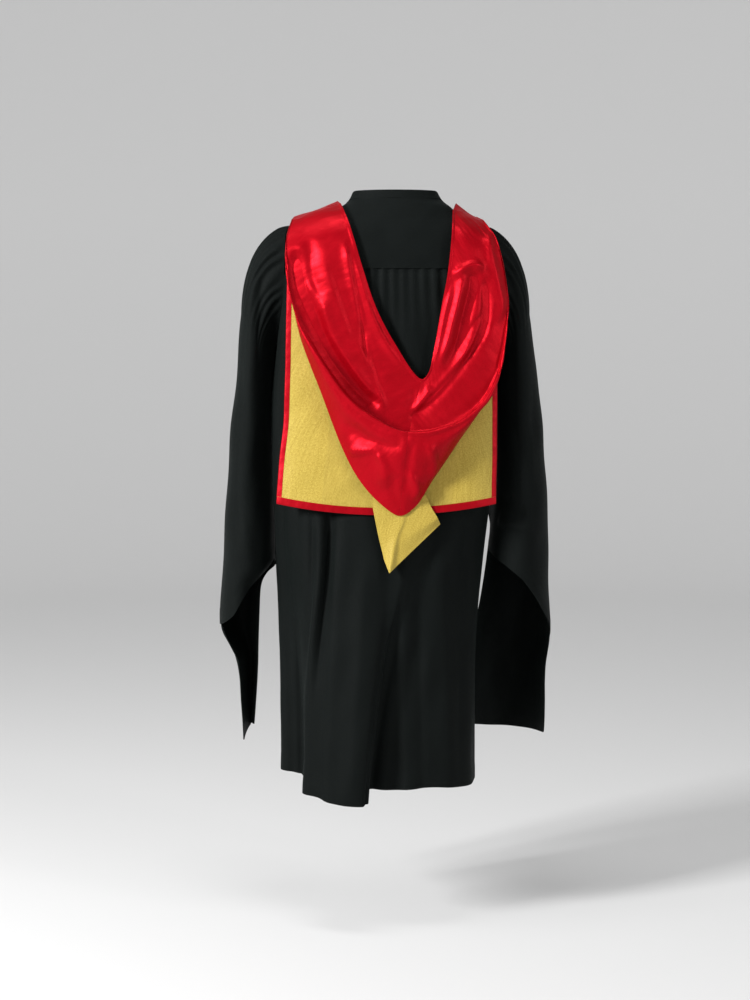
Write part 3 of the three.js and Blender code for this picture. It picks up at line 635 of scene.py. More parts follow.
def cloth_piece(name, grid, thickness, material, closed=False, outward=None):
    """A thin closed shell of cloth, on a grid of points along the middle of it."""
    rows, columns = grid.shape[:2]
    spans = columns if closed else columns - 1
    half = grid_normals(grid, closed, outward) * (np.broadcast_to(thickness, (rows, columns))[..., None] / 2)
    corners = np.concatenate([(grid + half).reshape(-1, 3), (grid - half).reshape(-1, 3)]) * MM
    u, v = flat_lengths(np.concatenate([grid, grid[:, :1]], 1) if closed else grid)
    flat = np.stack([u, v], -1).reshape(-1, 2)

    i, j = (a.reshape(-1) for a in np.meshgrid(np.arange(rows - 1), np.arange(spans), indexing="ij"))
    under = rows * columns

    def at(row, column, side):
        return row * columns + column % columns + side * under

    def on_flat(row, column):
        return row * (spans + 1) + column

    faces, flat_at = [], []

    def add(*corner_rows):
        faces.append(np.stack([at(*corner) for corner in corner_rows], -1))
        flat_at.append(np.stack([on_flat(row, column) for row, column, _ in corner_rows], -1))

    add((i, j, 0), (i + 1, j, 0), (i + 1, j + 1, 0), (i, j + 1, 0))
    add((i, j, 1), (i, j + 1, 1), (i + 1, j + 1, 1), (i + 1, j, 1))
    j = np.arange(spans)
    top, bottom = 0 * j, 0 * j + rows - 1
    add((top, j, 0), (top, j + 1, 0), (top, j + 1, 1), (top, j, 1))
    add((bottom, j, 0), (bottom, j, 1), (bottom, j + 1, 1), (bottom, j + 1, 0))
    if not closed:
        i = np.arange(rows - 1)
        first, last = 0 * i, 0 * i + columns - 1
        add((i, first, 0), (i, first, 1), (i + 1, first, 1), (i + 1, first, 0))
        add((i, last, 0), (i + 1, last, 0), (i + 1, last, 1), (i, last, 1))
    faces = np.concatenate(faces)
    flat_at = np.concatenate(flat_at)

    a, b, c, d = (corners[faces[:, k]] for k in range(4))
    volume = (np.cross(a, b) * c).sum() + (np.cross(a, c) * d).sum()
    if volume < 0:
        faces, flat_at = faces[:, ::-1], flat_at[:, ::-1]

    mesh = smooth_mesh(name, corners.tolist(), faces.tolist(), material)
    layer = mesh.uv_layers.new(name="flat")
    layer.data.foreach_set("uv", flat[flat_at.reshape(-1)].astype(np.float32).reshape(-1))
    mesh.set_sharp_from_angle(angle=math.radians(65))
    return placed(name, mesh)


def stand_for(piece, node):
    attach(piece, "root")
    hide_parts(node)
    return piece


# Materials


class Shader:
    """A material's node tree, with short ways to add nodes and join them."""

    def __init__(self, name):
        self.material = bpy.data.materials.new(name)
        self.material.use_nodes = True
        self.tree = self.material.node_tree
        self.surface = self.tree.nodes["Principled BSDF"]
        self.flat = self.add("ShaderNodeUVMap", uv_map="flat").outputs["UV"]

    def add(self, kind, inputs=None, **settings):
        node = self.tree.nodes.new(kind)
        for name, value in settings.items():
            setattr(node, name, value)
        for name, value in (inputs or {}).items():
            if isinstance(value, bpy.types.NodeSocket):
                self.tree.links.new(value, node.inputs[name])
            else:
                node.inputs[name].default_value = value
        return node

    def set(self, **values):
        for name, value in values.items():
            socket = self.surface.inputs[name.replace("_", " ")]
            if isinstance(value, bpy.types.NodeSocket):
                self.tree.links.new(value, socket)
            else:
                socket.default_value = value

    def stretched(self, across, down, turn=0.0):
        """The flat cloth's places, scaled so that one unit is across by down metres."""
        node = self.add("ShaderNodeMapping", {"Vector": self.flat})
        node.inputs["Rotation"].default_value = (0, 0, turn)
        node.inputs["Scale"].default_value = (1 / across, 1 / down, 1)
        return node.outputs["Vector"]

    def noise(self, across, down, detail, turn=0.0):
        inputs = {"Vector": self.stretched(across, down, turn), "Scale": 1.0, "Detail": detail}
        return self.add("ShaderNodeTexNoise", inputs).outputs["Fac"]

    def threads(self, spacing, turn=0.0, wobble=0.6):
        """Parallel threads, one light and dark band for each spacing."""
        vector = self.stretched(spacing, spacing, turn)
        inputs = {"Vector": vector, "Scale": 0.3142, "Distortion": wobble, "Detail Scale": 0.4}
        return self.add("ShaderNodeTexWave", inputs, bands_direction="X").outputs["Fac"]

    def between(self, low, high, share):
        inputs = {"Value": share, "From Min": 0.3, "From Max": 0.7, "To Min": low, "To Max": high}
        return self.add("ShaderNodeMapRange", inputs).outputs["Result"]

    def mixed(self, first, second, share):
        node = self.add("ShaderNodeMix", data_type="RGBA")
        self.tree.links.new(share, node.inputs["Factor"])
        node.inputs["A"].default_value = (*first, 1)
        node.inputs["B"].default_value = (*second, 1)
        return node.outputs["Result"]

    def average(self, first, second):
        both = self.add("ShaderNodeMath", {0: first, 1: second}, operation="ADD").outputs[0]
        return self.add("ShaderNodeMath", {0: both, 1: 0.5}, operation="MULTIPLY").outputs[0]

    def bump(self, height, depth, strength, under=None):
        inputs = {"Height": height, "Distance": depth, "Strength": strength}
        if under is not None:
            inputs["Normal"] = under
        return self.add("ShaderNodeBump", inputs).outputs["Normal"]


def gown_cloth():
    """Matt black wool and polyester: a fine diagonal twill with a faint nap."""
    s = Shader("gown_cloth")
    mottle = s.noise(0.05, 0.09, detail=4)
    nap = s.noise(0.0025, 0.004, detail=2)
    twill = s.threads(0.0011, turn=math.radians(60))
    s.set(Base_Color=s.mixed(*BLACKS, mottle))
    s.set(Roughness=s.between(0.62, 0.8, nap))
    s.set(Sheen_Weight=0.02, Sheen_Roughness=0.4, Sheen_Tint=(0.75, 0.95, 0.9, 1))
    s.set(Specular_IOR_Level=0.07)
    s.set(Normal=s.bump(twill, 0.00012, 0.6, under=s.bump(nap, 0.0003, 0.35)))
    return s.material


def hood_satin():
    """Glossy red satin: its long floats catch the light, over a very fine weave."""
    s = Shader("hood_satin")
    tone = s.noise(0.04, 0.07, detail=3)
    floats = s.threads(0.0007, turn=math.radians(90), wobble=0.3)
    crinkle = s.noise(0.012, 0.03, detail=4)
    crumple = s.noise(0.035, 0.09, detail=2, turn=0.6)
    s.set(Base_Color=s.mixed(*REDS, tone))
    s.set(Roughness=s.between(0.36, 0.46, crinkle))
    s.set(Metallic=0.5, Anisotropic=0.4, Specular_IOR_Level=0.3, Specular_Tint=RED_GLOSS)
    s.set(Sheen_Weight=0.03, Sheen_Roughness=0.3, Sheen_Tint=(1.0, 0.5, 0.58, 1))
    wrinkled = s.bump(crinkle, 0.0010, 0.45, under=s.bump(crumple, 0.005, 0.5))
    s.set(Normal=s.bump(floats, 0.00005, 0.5, under=wrinkled))
    return s.material


def binding_satin():
    """The same satin cut as ribbon, a little flatter and darker where it is pressed."""
    s = Shader("binding_satin")
    tone = s.noise(0.02, 0.05, detail=3)
    floats = s.threads(0.0007, wobble=0.3)
    pucker = s.noise(0.006, 0.012, detail=3)
    s.set(Base_Color=s.mixed(*RIBBON_REDS, tone))
    s.set(Roughness=s.between(0.34, 0.46, pucker), Metallic=0.35)
    s.set(Specular_IOR_Level=0.3, Specular_Tint=RED_GLOSS)
    s.set(Normal=s.bump(floats, 0.00006, 0.6, under=s.bump(pucker, 0.0005, 0.5)))
    return s.material


def hood_gold():
    """Gold ribbed cloth: a fine pebbled weave, with faint slubs that run down the cloth."""
    s = Shader("hood_gold")
    grain = s.noise(0.0026, 0.0022, detail=2)
    slub = s.noise(0.006, 0.05, detail=2)
    ribs = s.threads(0.0016, turn=math.radians(90), wobble=0.8)
    speckle = s.between(0.0, 1.0, s.average(grain, s.average(grain, slub)))
    s.set(Base_Color=s.mixed(*GOLDS, speckle))
    s.set(Roughness=s.between(0.42, 0.58, grain))
    s.set(Specular_IOR_Level=0.3, Specular_Tint=(1.0, 0.9, 0.6, 1))
    s.set(Sheen_Weight=0.06, Sheen_Roughness=0.4, Sheen_Tint=(1.0, 0.93, 0.7, 1))
    s.set(Normal=s.bump(ribs, 0.00012, 0.5, under=s.bump(grain, 0.0007, 0.6)))
    return s.material


def studio_white():
    material = bpy.data.materials.new("studio_white")
    material.use_nodes = True
    surface = material.node_tree.nodes["Principled BSDF"]
    surface.inputs["Base Color"].default_value = (0.5, 0.5, 0.5, 1)
    surface.inputs["Roughness"].default_value = 0.9
    surface.inputs["Emission Color"].default_value = (1, 1, 1, 1)
    surface.inputs["Emission Strength"].default_value = 0.2
    return material


BLACK = gown_cloth()
SATIN = hood_satin()
RIBBON = binding_satin()
GOLD = hood_gold()


# The gown


def armhole_turn(step):
    return 2 * math.pi * step / ARMHOLE_STEPS


def armhole_z(step):
    return ARMHOLE_MIDDLE + ARMHOLE_HEIGHT / 2 * np.cos(armhole_turn(step))


def armhole_angle(step):
    return math.pi / 2 - ARMHOLE_HALF_ANGLE * np.sin(armhole_turn(step))


def front_edge_angle(z):
    middle_x, *_ = section(z)
    return math.pi - side_angle(middle_x + FRONT_GAP_HALF, z)


def neckline_z(angle):
    return NECKLINE_HEIGHT - NECKLINE_FRONT_DIP * ease(1.2, 2.5, np.abs(angle))


def hem_thickness(grid):
    """Thicker cloth along the bottom, where the hem is turned up and sewn."""
    down = np.linalg.norm(np.diff(grid[::-1], axis=0), axis=-1)
    from_hem = np.concatenate([np.zeros((1, grid.shape[1])), np.cumsum(down, 0)], 0)[::-1]
    stitched = -0.5 * np.exp(-(((from_hem - HEM_TURNING + 3) / 2.5) ** 2))
    return GOWN_CLOTH + HEM_EXTRA * ease(HEM_TURNING + 2, HEM_TURNING - 2, from_hem) + stitched


def make_yoke():
    back_angle = armhole_angle(YOKE_BACK_STEP)
    front_angle = armhole_angle(-YOKE_FRONT_STEP)
    back = np.linspace(0, back_angle, 40)[:-1]
    steps = np.linspace(YOKE_BACK_STEP, -YOKE_FRONT_STEP, 60)
    beyond = np.linspace(0, 1, 22)[1:]
    angle = np.concatenate([back, armhole_angle(steps), 0 * beyond + front_angle])
    low_behind, low_before = armhole_z(YOKE_BACK_STEP), armhole_z(-YOKE_FRONT_STEP)
    low = np.concatenate([0 * back + low_behind, armhole_z(steps), 0 * beyond + low_before])
    reach = np.concatenate([0 * back, 0 * steps, beyond])
    top = neckline_z(lerp(angle, np.where(reach > 0, 2.4, angle), reach))
    down = (np.linspace(0, 1, 44) ** 1.5)[:, None]
    z = lerp(top, low, down)
    full = lerp(angle, front_edge_angle(z), reach)
    left = form_point(full, z)[:, ::-1]
    right = form_point(-full, z)[:, 1:]
    grid = np.concatenate([left, right], 1)
    grid = moved_out(grid, 0.9 * unevenness(grid[..., 0], grid[..., 2], 90))
    piece = stand_for(cloth_piece("yoke", grid, GOWN_CLOTH, BLACK), "gown_yoke")


def make_collar():
    spans = 150
    edge = front_edge_angle(NECKLINE_HEIGHT - NECKLINE_FRONT_DIP)
    angle = np.linspace(edge, -edge, spans)
    rise = np.linspace(0.25, COLLAR_RISE, 12)[:, None]
    grid = form_point(angle + 0 * rise, neckline_z(angle) + rise)
    piece = stand_for(cloth_piece("collar", grid, COLLAR_CLOTH, BLACK), "gown_collar")


def armhole_inset(z):
    up = (z - ARMHOLE_MIDDLE) / (ARMHOLE_HEIGHT / 2)
    return ARMHOLE_HALF_ANGLE * np.sqrt(np.clip(1 - up * up, 0, 1))


def beside_armhole(angle, z):
    """Near an armhole only the columns close to it give way."""
    steady = 1.0
    share = (np.abs(angle) - steady) / (math.pi / 2 - steady)
    giving = np.sign(angle) * lerp(steady, math.pi / 2 - armhole_inset(z), share)
    return np.where(np.abs(angle) < steady, angle, giving)


def flute_depth(share, z):
    down = ease(-300, -1200, z)
    depth = 0
    for top, hem, width, deep in zip(*(BACK_FLUTES[name] for name in ("top", "hem", "width", "depth"))):
        away = (share - lerp(top, hem, down)) / (width * lerp(1, 1.5, down))
        depth = depth + deep * lerp(1, 0.5, down) * np.exp(-away * away)
    return depth * ease(-170, -330, z)


def falling_grid(angle, share, z, hem_table, flutes):
    """A panel that falls from the yoke: on the form above, and drawn to its hem's shape below."""
    straight = np.clip((HIP_LEVEL - z) / (HIP_LEVEL - HEM_END), 0, 1)
    weight = lerp(straight, ease(HIP_LEVEL, HEM_END, z), 0.6)
    grid = form_point(angle, z)
    normals = form_normal(angle, z)
    hem_x, hem_y, hem_z = read_all(hem_table, "share", "x y z", share)
    grid[..., 0] = lerp(grid[..., 0], hem_x, weight)
    grid[..., 1] = lerp(grid[..., 1], hem_y, weight)
    grid[..., 2] = z + (hem_z - HEM_LEVEL) * ease(-600, HEM_LEVEL, z)
    return grid - normals * np.asarray(flutes)[..., None]


def panel_places(first_step, rows_beside, rows_below, columns):
    beside = np.linspace(armhole_z(first_step) + UNDER_YOKE, armhole_z(ARMHOLE_STEPS / 2), rows_beside)
    below = np.linspace(armhole_z(ARMHOLE_STEPS / 2), HEM_LEVEL, rows_below)
    z = np.concatenate([beside, below[1:]])[:, None]
    return np.broadcast_arrays(z, np.linspace(0, 1, columns)[None, :])


def gathers(share, z, count, top, depth):
    """Small pleats sewn in at the top edge, which open out below it."""
    wander = 0.35 * np.sin(7.0 * share + 1.3) + 0.2 * np.sin(23.0 * share)
    wave = np.sin(2 * math.pi * count * share + wander * 6)
    return depth * wave * ease(top - PLEAT_LENGTH, top, z) * (0.75 + 0.25 * np.sin(31 * share))


def make_back():
    z, share = panel_places(YOKE_BACK_STEP, 36, 196, 190)
    angle = beside_armhole(lerp(math.pi / 2 - 0.002, -math.pi / 2 + 0.002, share), z)
    grid = falling_grid(angle, share, z, BACK_HEM, flute_depth(share, z))
    behind = ease(0.0, 0.25, grid_normals(grid)[..., 1])
    height = gathers(share, z, BACK_PLEATS, -162, BACK_PLEAT_DEPTH) - BACK_PRESS * ease(-166, -152, z)
    height = height + BACK_FOLD_DEPTH * fold_height(grid[..., 0], grid[..., 2], SKIRT_FOLDS) * behind
    height = height + 1.2 * unevenness(grid[..., 0], grid[..., 2] * 0.35, 70) * ease(-300, -700, z)
    grid = moved_out(grid, height * ease(0.0, 0.02, share) * ease(1.0, 0.98, share))
    piece = stand_for(cloth_piece("back", grid, hem_thickness(grid), BLACK), "gown_back")


def make_front(name, node, side, hem_table):
    z, share = panel_places(YOKE_FRONT_STEP, 40, 190, 66)
    edge = math.pi / 2 + armhole_inset(z) + 0.002
    angle = side * lerp(edge, front_edge_angle(z), share)
    grid = falling_grid(angle, share, z, hem_table, 0 * z)
    before = ease(0.0, -0.3, grid_normals(grid)[..., 1])
    pleats = gathers(share, z, FRONT_PLEATS, -130, FRONT_PLEAT_DEPTH) * ease(0.8, 0.6, share)
    height = fold_height(grid[..., 0], grid[..., 2], FRONT_FOLDS) * before
    height = height + pleats - FRONT_PRESS * ease(-146, -132, z)
    height = height * ease(0.0, 0.06, share)
    grid = moved_out(grid, height)
    piece = stand_for(cloth_piece(name, grid, hem_thickness(grid), BLACK), node)


def sleeve_section(side, rows, turn, z):
    outer, inner, back, front = read_all(rows, "z", "outer inner back front", z)
    x = (outer + inner) / 2 + (outer - inner) / 2 * np.cos(turn)
    y = (back - front) / 2 + (back + front) / 2 * np.sin(turn)
    return points(side * x, y, z)


def make_sleeve(name, node, side, rows, ends, tuck_end):
    """A rounded, gathered head that turns down into a long open fall, tucked in beside the body."""
    step = np.linspace(0, ARMHOLE_STEPS, 181)[None, :-1]
    turn = armhole_turn(step)
    start = form_point(side * armhole_angle(step), armhole_z(step))
    middle = form_point(side * math.pi / 2, ARMHOLE_MIDDLE)
    inward = unit((middle - start) * (0, 1, 1))
    clear = GOWN_CLOTH + SEAM_GAP
    start = start - inward * SEAM_LAP + form_normal(side * armhole_angle(step), armhole_z(step)) * clear
    high = (1 + np.cos(turn)) / 2
    join_z = lerp(SLEEVE_JOIN_LOW, SLEEVE_JOIN_HIGH, high)
    join = sleeve_section(side, rows, turn, join_z)
    length = np.linalg.norm(join - start, axis=-1)[..., None]
    leave = unit(points(side + 0 * high, 0, -0.2 * high)) * length * lerp(0.5, 1.1, high)[..., None]
    arrive = points(0, 0, -1) * length * lerp(1.2, 1.0, high)[..., None]
    t = np.linspace(0, 1, 42)[:, None, None]
    head = (
        start * (2 * t**3 - 3 * t**2 + 1)
        + leave * (t**3 - 2 * t**2 + t)
        + join * (3 * t**2 - 2 * t**3)
        + arrive * (t**3 - t**2)
    )
    down = np.linspace(0, 1, 150)[1:, None]
    z = lerp(join_z, read(ends, "angle", "z", np.degrees(turn)), down)
    grid = np.concatenate([head, sleeve_section(side, rows, turn + 0 * z, z)])

    normals = grid_normals(grid, closed=True)
    behind = ease(-0.1, 0.25, normals[..., 1])
    before = ease(0.1, -0.25, normals[..., 1])
    x, height_z = grid[..., 0], grid[..., 2]
    height = fold_height(x, height_z, SLEEVE_FOLDS) * behind
    height = height + fold_height(x * 1.02, height_z + SLEEVE_FRONT_DROP, SLEEVE_FOLDS) * before
    from_seam = np.concatenate([t[:, :, 0], 1 + down]) + 0 * turn
    fullness = ease(-0.75, 0.1, np.cos(turn)) * ease(0.0, 0.12, from_seam) * ease(1.15, 0.15, from_seam)
    wander = 2.2 * np.sin(3 * turn) + 0.9 * np.sin(11 * turn + 5 * from_seam)
    pleats = np.sin(turn * SLEEVE_PLEATS + wander) * (1 + 0.5 * np.sin(7 * turn + 1))
    height = height + SLEEVE_PLEAT_DEPTH * fullness * pleats
    height = height + 1.8 * unevenness(x, height_z * 0.3, 60) * ease(0.6, 1.4, from_seam)
    height = height * ease(-0.97, -0.75, np.cos(turn))
    tucked = np.exp(-(((turn - SLEEVE_TUCK_TURN) / SLEEVE_TUCK_WIDTH) ** 2))
    tucked = tucked * ease(0.05, 0.5, from_seam) * ease(-275, -310, height_z)
    height = height + SLEEVE_TUCK * tucked * ease(tuck_end, tuck_end + 40, height_z)
    grid = moved_out(grid, height, closed=True)
    piece = stand_for(cloth_piece(name, grid, hem_thickness(grid), BLACK, closed=True), node)


# The hood

CAPE_SHOULDER_SHARE = 0.2
CAPE_UNDER_NECK = 4


def cape_top(across):
    """The cape's top edge: along the left shoulder, round the neck edge and along the right one."""
    shoulder = CAPE_SHOULDER_SHARE
    along = np.clip((across - shoulder) / (1 - 2 * shoulder), 0, 1)
    neck_x, neck_z = read_all(NECK_EDGE, "share", "x z", along)
    x = neck_x + CAPE_UNDER_NECK * np.where(along < 0.5, 1, -1)
    z = neck_z - CAPE_UNDER_NECK
    from_left = np.clip(across / shoulder, 0, 1)
    to_right = np.clip((across - 1 + shoulder) / shoulder, 0, 1)
    x = lerp(lerp(CAPE_LEFT["x"][0], x, from_left), CAPE_RIGHT["x"][0], to_right)
    z = lerp(lerp(CAPE_LEFT["z"][0], z, from_left), CAPE_RIGHT["z"][0], to_right)
    return x, z


def cape_grid(across, down):
    top_x, top_z = cape_top(across)
    bottom = CAPE_LEFT["z"][-1] - CAPE_SAG * (1 - (2 * across - 1) ** 2)
    z = lerp(top_z, bottom, down)

    def share_at(x, height):
        left = read(CAPE_LEFT, "z", "x", height)
        return (x - left) / (read(CAPE_RIGHT, "z", "x", height) - left)

    share = lerp(share_at(top_x, top_z), across, down)
    x = lerp(read(CAPE_LEFT, "z", "x", z), read(CAPE_RIGHT, "z", "x", z), share)
    grid = on_hood_back(x, z, CAPE_LIFT + CAPE_TOP_LIFT * ease(0.3, 0.05, down))
    swing = 2.0 * np.sin(9.0 * across + 0.8) * ease(0.45, 1.0, down) + 1.1 * unevenness(x, z, 120)
    return moved_out(grid, swing * ease(0.25, 0.5, down))


def make_cape():
    down = np.concatenate([np.linspace(0, 0.22, 30), np.linspace(0.22, 1, 90)[1:]])[:, None]
    across = np.linspace(0, 1, 130)[None, :]
    down, across = np.broadcast_arrays(down, across)
    grid = cape_grid(across, down)
    piece = stand_for(cloth_piece("cape", grid, HOOD_CLOTH, GOLD), "hood_cape")
    return grid


def wrapped(name, node, edge, inside, width, outside):
    """Ribbon folded over an edge: a flat strip outside, a round fold and a flat strip inside."""
    inward = unit(inside - edge)
    half = RIBBON_HALF
    strip_outside = [(width, half), (width * 0.6, half + 0.1), (width * 0.25, half + 0.15), (1.0, half)]
    round_fold = [(-0.4, half * 0.8), (-0.9, 0.0), (-0.4, -half * 0.8)]
    strip_inside = [(1.0, -half), (width * 0.5, -half), (width, -half)]
    run = np.concatenate([[0], np.cumsum(np.linalg.norm(np.diff(edge, axis=0), axis=-1))])
    pucker = (0.22 * np.sin(run / 3.4) + 0.2 * np.sin(run / 9.1 + 1))[:, None]
    grid = np.stack([
        edge + inward * into + outside * (out + pucker * (0.2 < into < width))
        for into, out in strip_outside + round_fold + strip_inside
    ])
    piece = cloth_piece(name, grid, RIBBON_THICKNESS, RIBBON, outward=(0, 1, 0))
    stand_for(piece, node)


def make_bindings(cape):
    outside = grid_normals(cape)
    sewn = slice(24, None)

    def shortened(edge):
        cut = unit(edge[-2] - edge[-1]) * (BOTTOM_BINDING + SEAM_GAP)
        keep = np.linalg.norm(edge - edge[-1], axis=-1) > BOTTOM_BINDING + 2
        return np.concatenate([edge[keep], [edge[-1] + cut]]), keep

    for name, node, column, inner in (
        ("binding_left", "hood_binding_left", 0, 3),
        ("binding_right", "hood_binding_right", -1, -4),
    ):
        edge, keep = shortened(cape[sewn, column])
        within = np.concatenate([cape[sewn, inner][keep], [edge[-1] + cape[-1, inner] - cape[-1, column]]])
        out = np.concatenate([outside[sewn, column][keep], [outside[-1, column]]])
        wrapped(name, node, edge, within, SIDE_BINDING, out)
    wrapped("binding_bottom", "hood_binding_bottom", cape[-1], cape[-4], BOTTOM_BINDING, outside[-1])


def lining_profile(share, across):
    """Across the lining, from its neck edge over the pocket and the lip to the point's edge."""
    neck_x, neck_z = read_all(NECK_EDGE, "share", "x z", share)
    lip_x, lip_z, stand = read_all(LIP_EDGE, "share", "x z stand", share)
    end_x, end_z = read_all(POINT_EDGE, "share", "x z", share)
    turned = ease(5, 14, stand)
    over_tail = ease(0.4, 0.47, share) * ease(0.6, 0.53, share)
    end_lift = lerp(BINDING_LIFT + 3, POINT_LIFT, over_tail)

    def to_lip(t):
        return lerp(neck_x, lip_x, t), lerp(neck_z, lip_z, t)

    def to_end(t):
        return lerp(lip_x, end_x, t), lerp(lip_z, end_z, t)

    pocket = to_lip(lerp(0.86, 0.95, turned))[0], to_lip(0.9)[1]
    rows = [
        (0.0, (neck_x, neck_z), 0, NECK_EDGE_LIFT),
        (0.2, to_lip(0.34), 0, COWL_LIFT),
        (0.38, to_lip(0.68), 0, COWL_LIFT + 0.08 * stand),
        (0.52, pocket, 0.5, COWL_LIFT + 0.25 * stand),
        (0.6, (lip_x, lip_z), 0.26, COWL_LIFT + 0.74 * stand),
        (0.66, (lip_x, lip_z), 0, COWL_LIFT + stand + 2 * turned),
        (0.73, to_end(0.12), 0.1, COWL_LIFT + 1.08 * stand + 2 * turned),
        (0.86, to_end(0.55), 0, lerp(COWL_LIFT + stand, end_lift, 0.45) + 0.12 * stand),
        (1.0, (end_x, end_z), 0, end_lift),
    ]
    found = []
    for one in range(len(share)):
        profile = table("across x z lift", *(
            (at, place[0][one], place[1][one] - drop * stand[one], np.broadcast_to(height, share.shape)[one])
            for at, place, drop, height in rows
        ))
        found.append(read_all(profile, "across", "x z lift", across))
    return np.array(found).transpose(1, 2, 0)


def make_lining(name, node, first, last):
    parts = (0, 0.5, 66), (0.5, 0.78, 50), (0.78, 1, 36)
    across = np.concatenate([[0.0], *(np.linspace(*part)[1:] for part in parts)])
    share = np.linspace(first, last, 130)
    x, z, lift = lining_profile(share, across)
    grid = on_hood_back(x, z, lift)
    normals = grid_normals(grid, outward=(0, 1, 0))
    free = ease(0.0, 0.035, np.abs(share - 0.5))
    edges = (ease(0.0, 0.05, across) * ease(1.0, 0.92, across))[:, None]
    height = (FOLD_DEPTH * fold_height(x, z, HOOD_FOLDS) + 0.4 * unevenness(x, z, 60)) * edges
    height = np.maximum(height, CAPE_LIFT + LEAST_ROOM - lift)
    height = height + 1.1 * ease(0.035, 0.012, across)[:, None]
    seam = -0.8 * np.exp(-((np.abs(share - 0.5) * 300) ** 2)) * ease(0.02, 0.2, across)[:, None]
    grid = grid + normals * ((height * lerp(0.55, 1.0, free)) + seam)[..., None]
    thickness = HOOD_CLOTH + 0.9 * ease(0.035, 0.02, across)[:, None] + 0 * share
    piece = stand_for(cloth_piece(name, grid, thickness, SATIN, outward=(0, 1, 0)), node)


def make_liripipe():
    share = np.linspace(0, 1, 50)[:, None]
    left_x, left_z, crease_x, crease_z, right_x, right_z = read_all(
        LIRIPIPE, "share", "left_x left_z crease_x crease_z right_x right_z", share
    )
    to_crease = np.linspace(0, 1, 18)[None, :]
    to_right = np.linspace(0, 1, 26)[None, 1:]
    x = np.concatenate([lerp(left_x, crease_x, to_crease), lerp(crease_x, right_x, to_right)], 1)
    z = np.concatenate([lerp(left_z, crease_z, to_crease), lerp(crease_z, right_z, to_right)], 1)
    hanging = ease(0.35, 0.9, share)
    free = ease(0.7, 1.0, share)
    crease = lerp(3.2, 9.0, hanging)
    rise = crease * to_crease**1.6
    fall = crease * (1 - 0.6 * ease(0, 0.12, to_right)) - (3.0 * hanging + 9.0 * free) * to_right
    fold = np.concatenate([rise, fall], 1)
    grid = on_hood_back(x, z, LIRIPIPE_LIFT + fold + 0.5 * unevenness(x, z, 50))
    piece = stand_for(cloth_piece("liripipe", grid, LIRIPIPE_CLOTH, GOLD), "hood_liripipe")


def shoulder_height(x, angle):
    """The height at which the form's shoulder is x wide at this angle."""
    high, low = np.full(x.shape, -6.0), np.full(x.shape, -140.0)
    for _ in range(24):
        middle = (high + low) / 2
        wider = np.abs(form_point(angle, middle)[..., 0]) < np.abs(x)
        high, low = np.where(wider, middle, high), np.where(wider, low, middle)
    return (high + low) / 2


def make_band(name, node, side, rows):
    """One neck band: from the lining's top edge over the shoulder, then down the front to the middle."""
    across = np.linspace(0, 1, 26)
    first = on_hood_back(*lining_profile(np.array([0.0 if side > 0 else 1.0]), lerp(0.66, 0.0, across)))[:, 0]
    first = first + (0, -1.0, 0)
    t = np.linspace(0, 1, 22)[1:, None]
    angle = side * lerp(1.35, 1.95, t)
    ahead = BAND_MIDDLE + side * (rows["x"][0] + rows["width"][0] * (0.5 - across))
    x = np.clip(lerp(first[:, 0], ahead, t * 0.8), -182, 182)
    z = shoulder_height(x, angle)
    lift = BAND_LIFT + BAND_SHOULDER_LIFT * lerp(1.6, 1, t)
    ridge = off_form(angle + 0 * z, z, lift)
    share = np.linspace(0, 1, 60)[1:, None]
    offset = 0.5 - across
    x = BAND_MIDDLE + side * (read(rows, "share", "x", share) + read(rows, "share", "width", share) * offset)
    z = read(rows, "share", "z", share) - offset * read(rows, "share", "drop", share)
    lift = BAND_LIFT + BAND_SHOULDER_LIFT * ease(0.5, 0, share) + 0 * x
    grid = np.concatenate([first[None], ridge, on_front(x, z, lift)])
    for _ in range(6):
        grid[1:-1] = (grid[:-2] + 2 * grid[1:-1] + grid[2:]) / 4
    fading = ease(0.95, 0.6, np.linspace(0, 1, len(grid)))[:, None]
    crease = np.sin(across * math.pi * 3)[None, :] * 0.8 * fading
    grid = moved_out(grid, crease, outward=(0, -1, 0.3))
    piece = stand_for(cloth_piece(name, grid, HOOD_CLOTH, SATIN, outward=(0, -1, 0.3)), node)


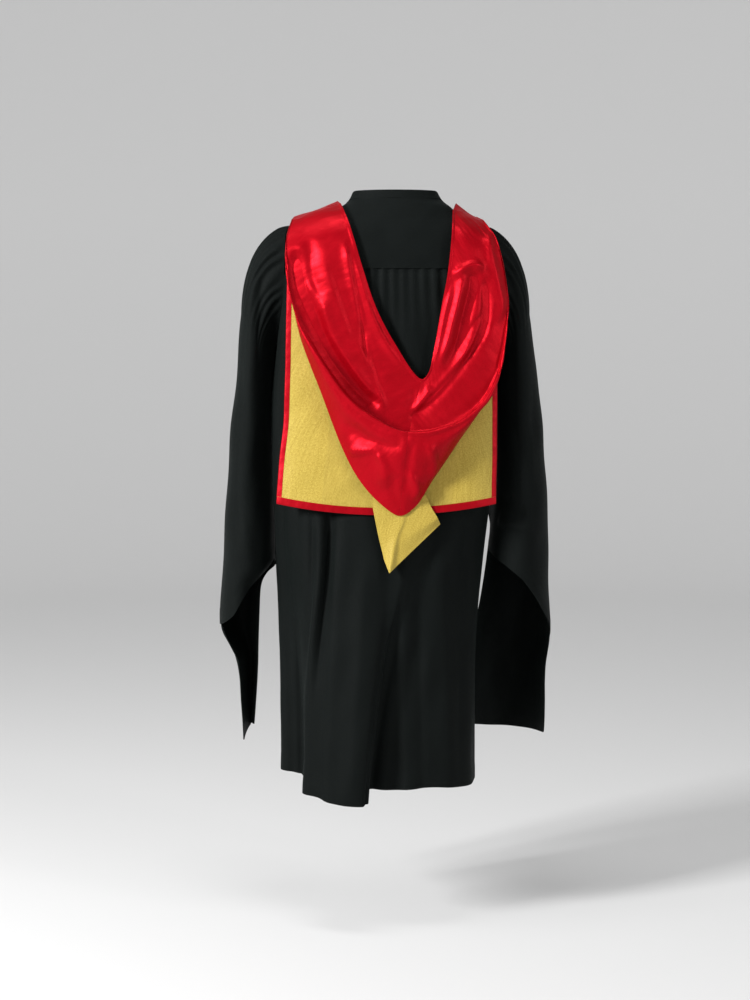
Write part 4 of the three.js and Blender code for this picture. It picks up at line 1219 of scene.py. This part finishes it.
make_yoke()
make_collar()
make_back()
make_front("front_left", "gown_front_left", 1, LEFT_FRONT_HEM)
make_front("front_right", "gown_front_right", -1, RIGHT_FRONT_HEM)
make_sleeve("sleeve_left_cloth", "sleeve_left", 1, LEFT_SLEEVE, LEFT_SLEEVE_END, LEFT_TUCK_END)
make_sleeve("sleeve_right_cloth", "sleeve_right", -1, RIGHT_SLEEVE, RIGHT_SLEEVE_END, RIGHT_TUCK_END)
cape = make_cape()
make_bindings(cape)
make_lining("lining_left", "hood_lining_left", 0.0, 0.4999)
make_lining("lining_right", "hood_lining_right", 0.5001, 1.0)
make_liripipe()
make_band("band_left", "hood_band_left", 1, LEFT_BAND)
make_band("band_right", "hood_band_right", -1, RIGHT_BAND)


# The studio


def make_studio():
    """A pale round floor that sweeps up into a wall all round the gown."""
    floor_radius, bend, wall_top, spans = 5.5, 2.0, 7.0, 96
    arc = np.linspace(0, math.pi / 2, 16)
    profile = [(0.01, 0.0), *((floor_radius + bend * math.sin(a), bend - bend * math.cos(a)) for a in arc)]
    profile.append((floor_radius + bend, wall_top))
    turns = np.arange(spans) * 2 * math.pi / spans
    corners = [(r * math.cos(a), r * math.sin(a), FLOOR_HEIGHT + z) for r, z in profile for a in turns]
    faces = [
        (k * spans + n, k * spans + (n + 1) % spans, (k + 1) * spans + (n + 1) % spans, (k + 1) * spans + n)
        for k in range(len(profile) - 1)
        for n in range(spans)
    ]
    faces.append(tuple(reversed(range(spans))))
    sweep = placed("studio", smooth_mesh("studio", corners, faces, studio_white()))


def aim(thing, place, target):
    thing.location = place
    thing.rotation_mode = "QUATERNION"
    thing.rotation_quaternion = (Vector(target) - Vector(place)).to_track_quat("-Z", "Y")


def make_lights():
    for name, place, target, size, power in LIGHTS:
        data = bpy.data.lights.new(name, "AREA")
        data.shape = "RECTANGLE"
        data.size, data.size_y = size
        data.energy = power
        aim(placed(name, data), place, target)
    world = bpy.data.worlds.new("studio_air")
    world.use_nodes = True
    background = world.node_tree.nodes["Background"]
    background.inputs["Color"].default_value = (1.0, 1.0, 1.0, 1)
    background.inputs["Strength"].default_value = AIR_STRENGTH
    bpy.context.scene.world = world


def make_camera():
    data = bpy.data.cameras.new("camera")
    data.lens = CAMERA_LENS
    data.sensor_width = 36.0
    data.clip_end = 60
    camera = placed("camera", data)
    aim(camera, CAMERA_PLACE, CAMERA_AIM)
    bpy.context.scene.camera = camera


make_studio()
make_lights()
make_camera()
bpy.context.scene.view_settings.view_transform = "Standard"
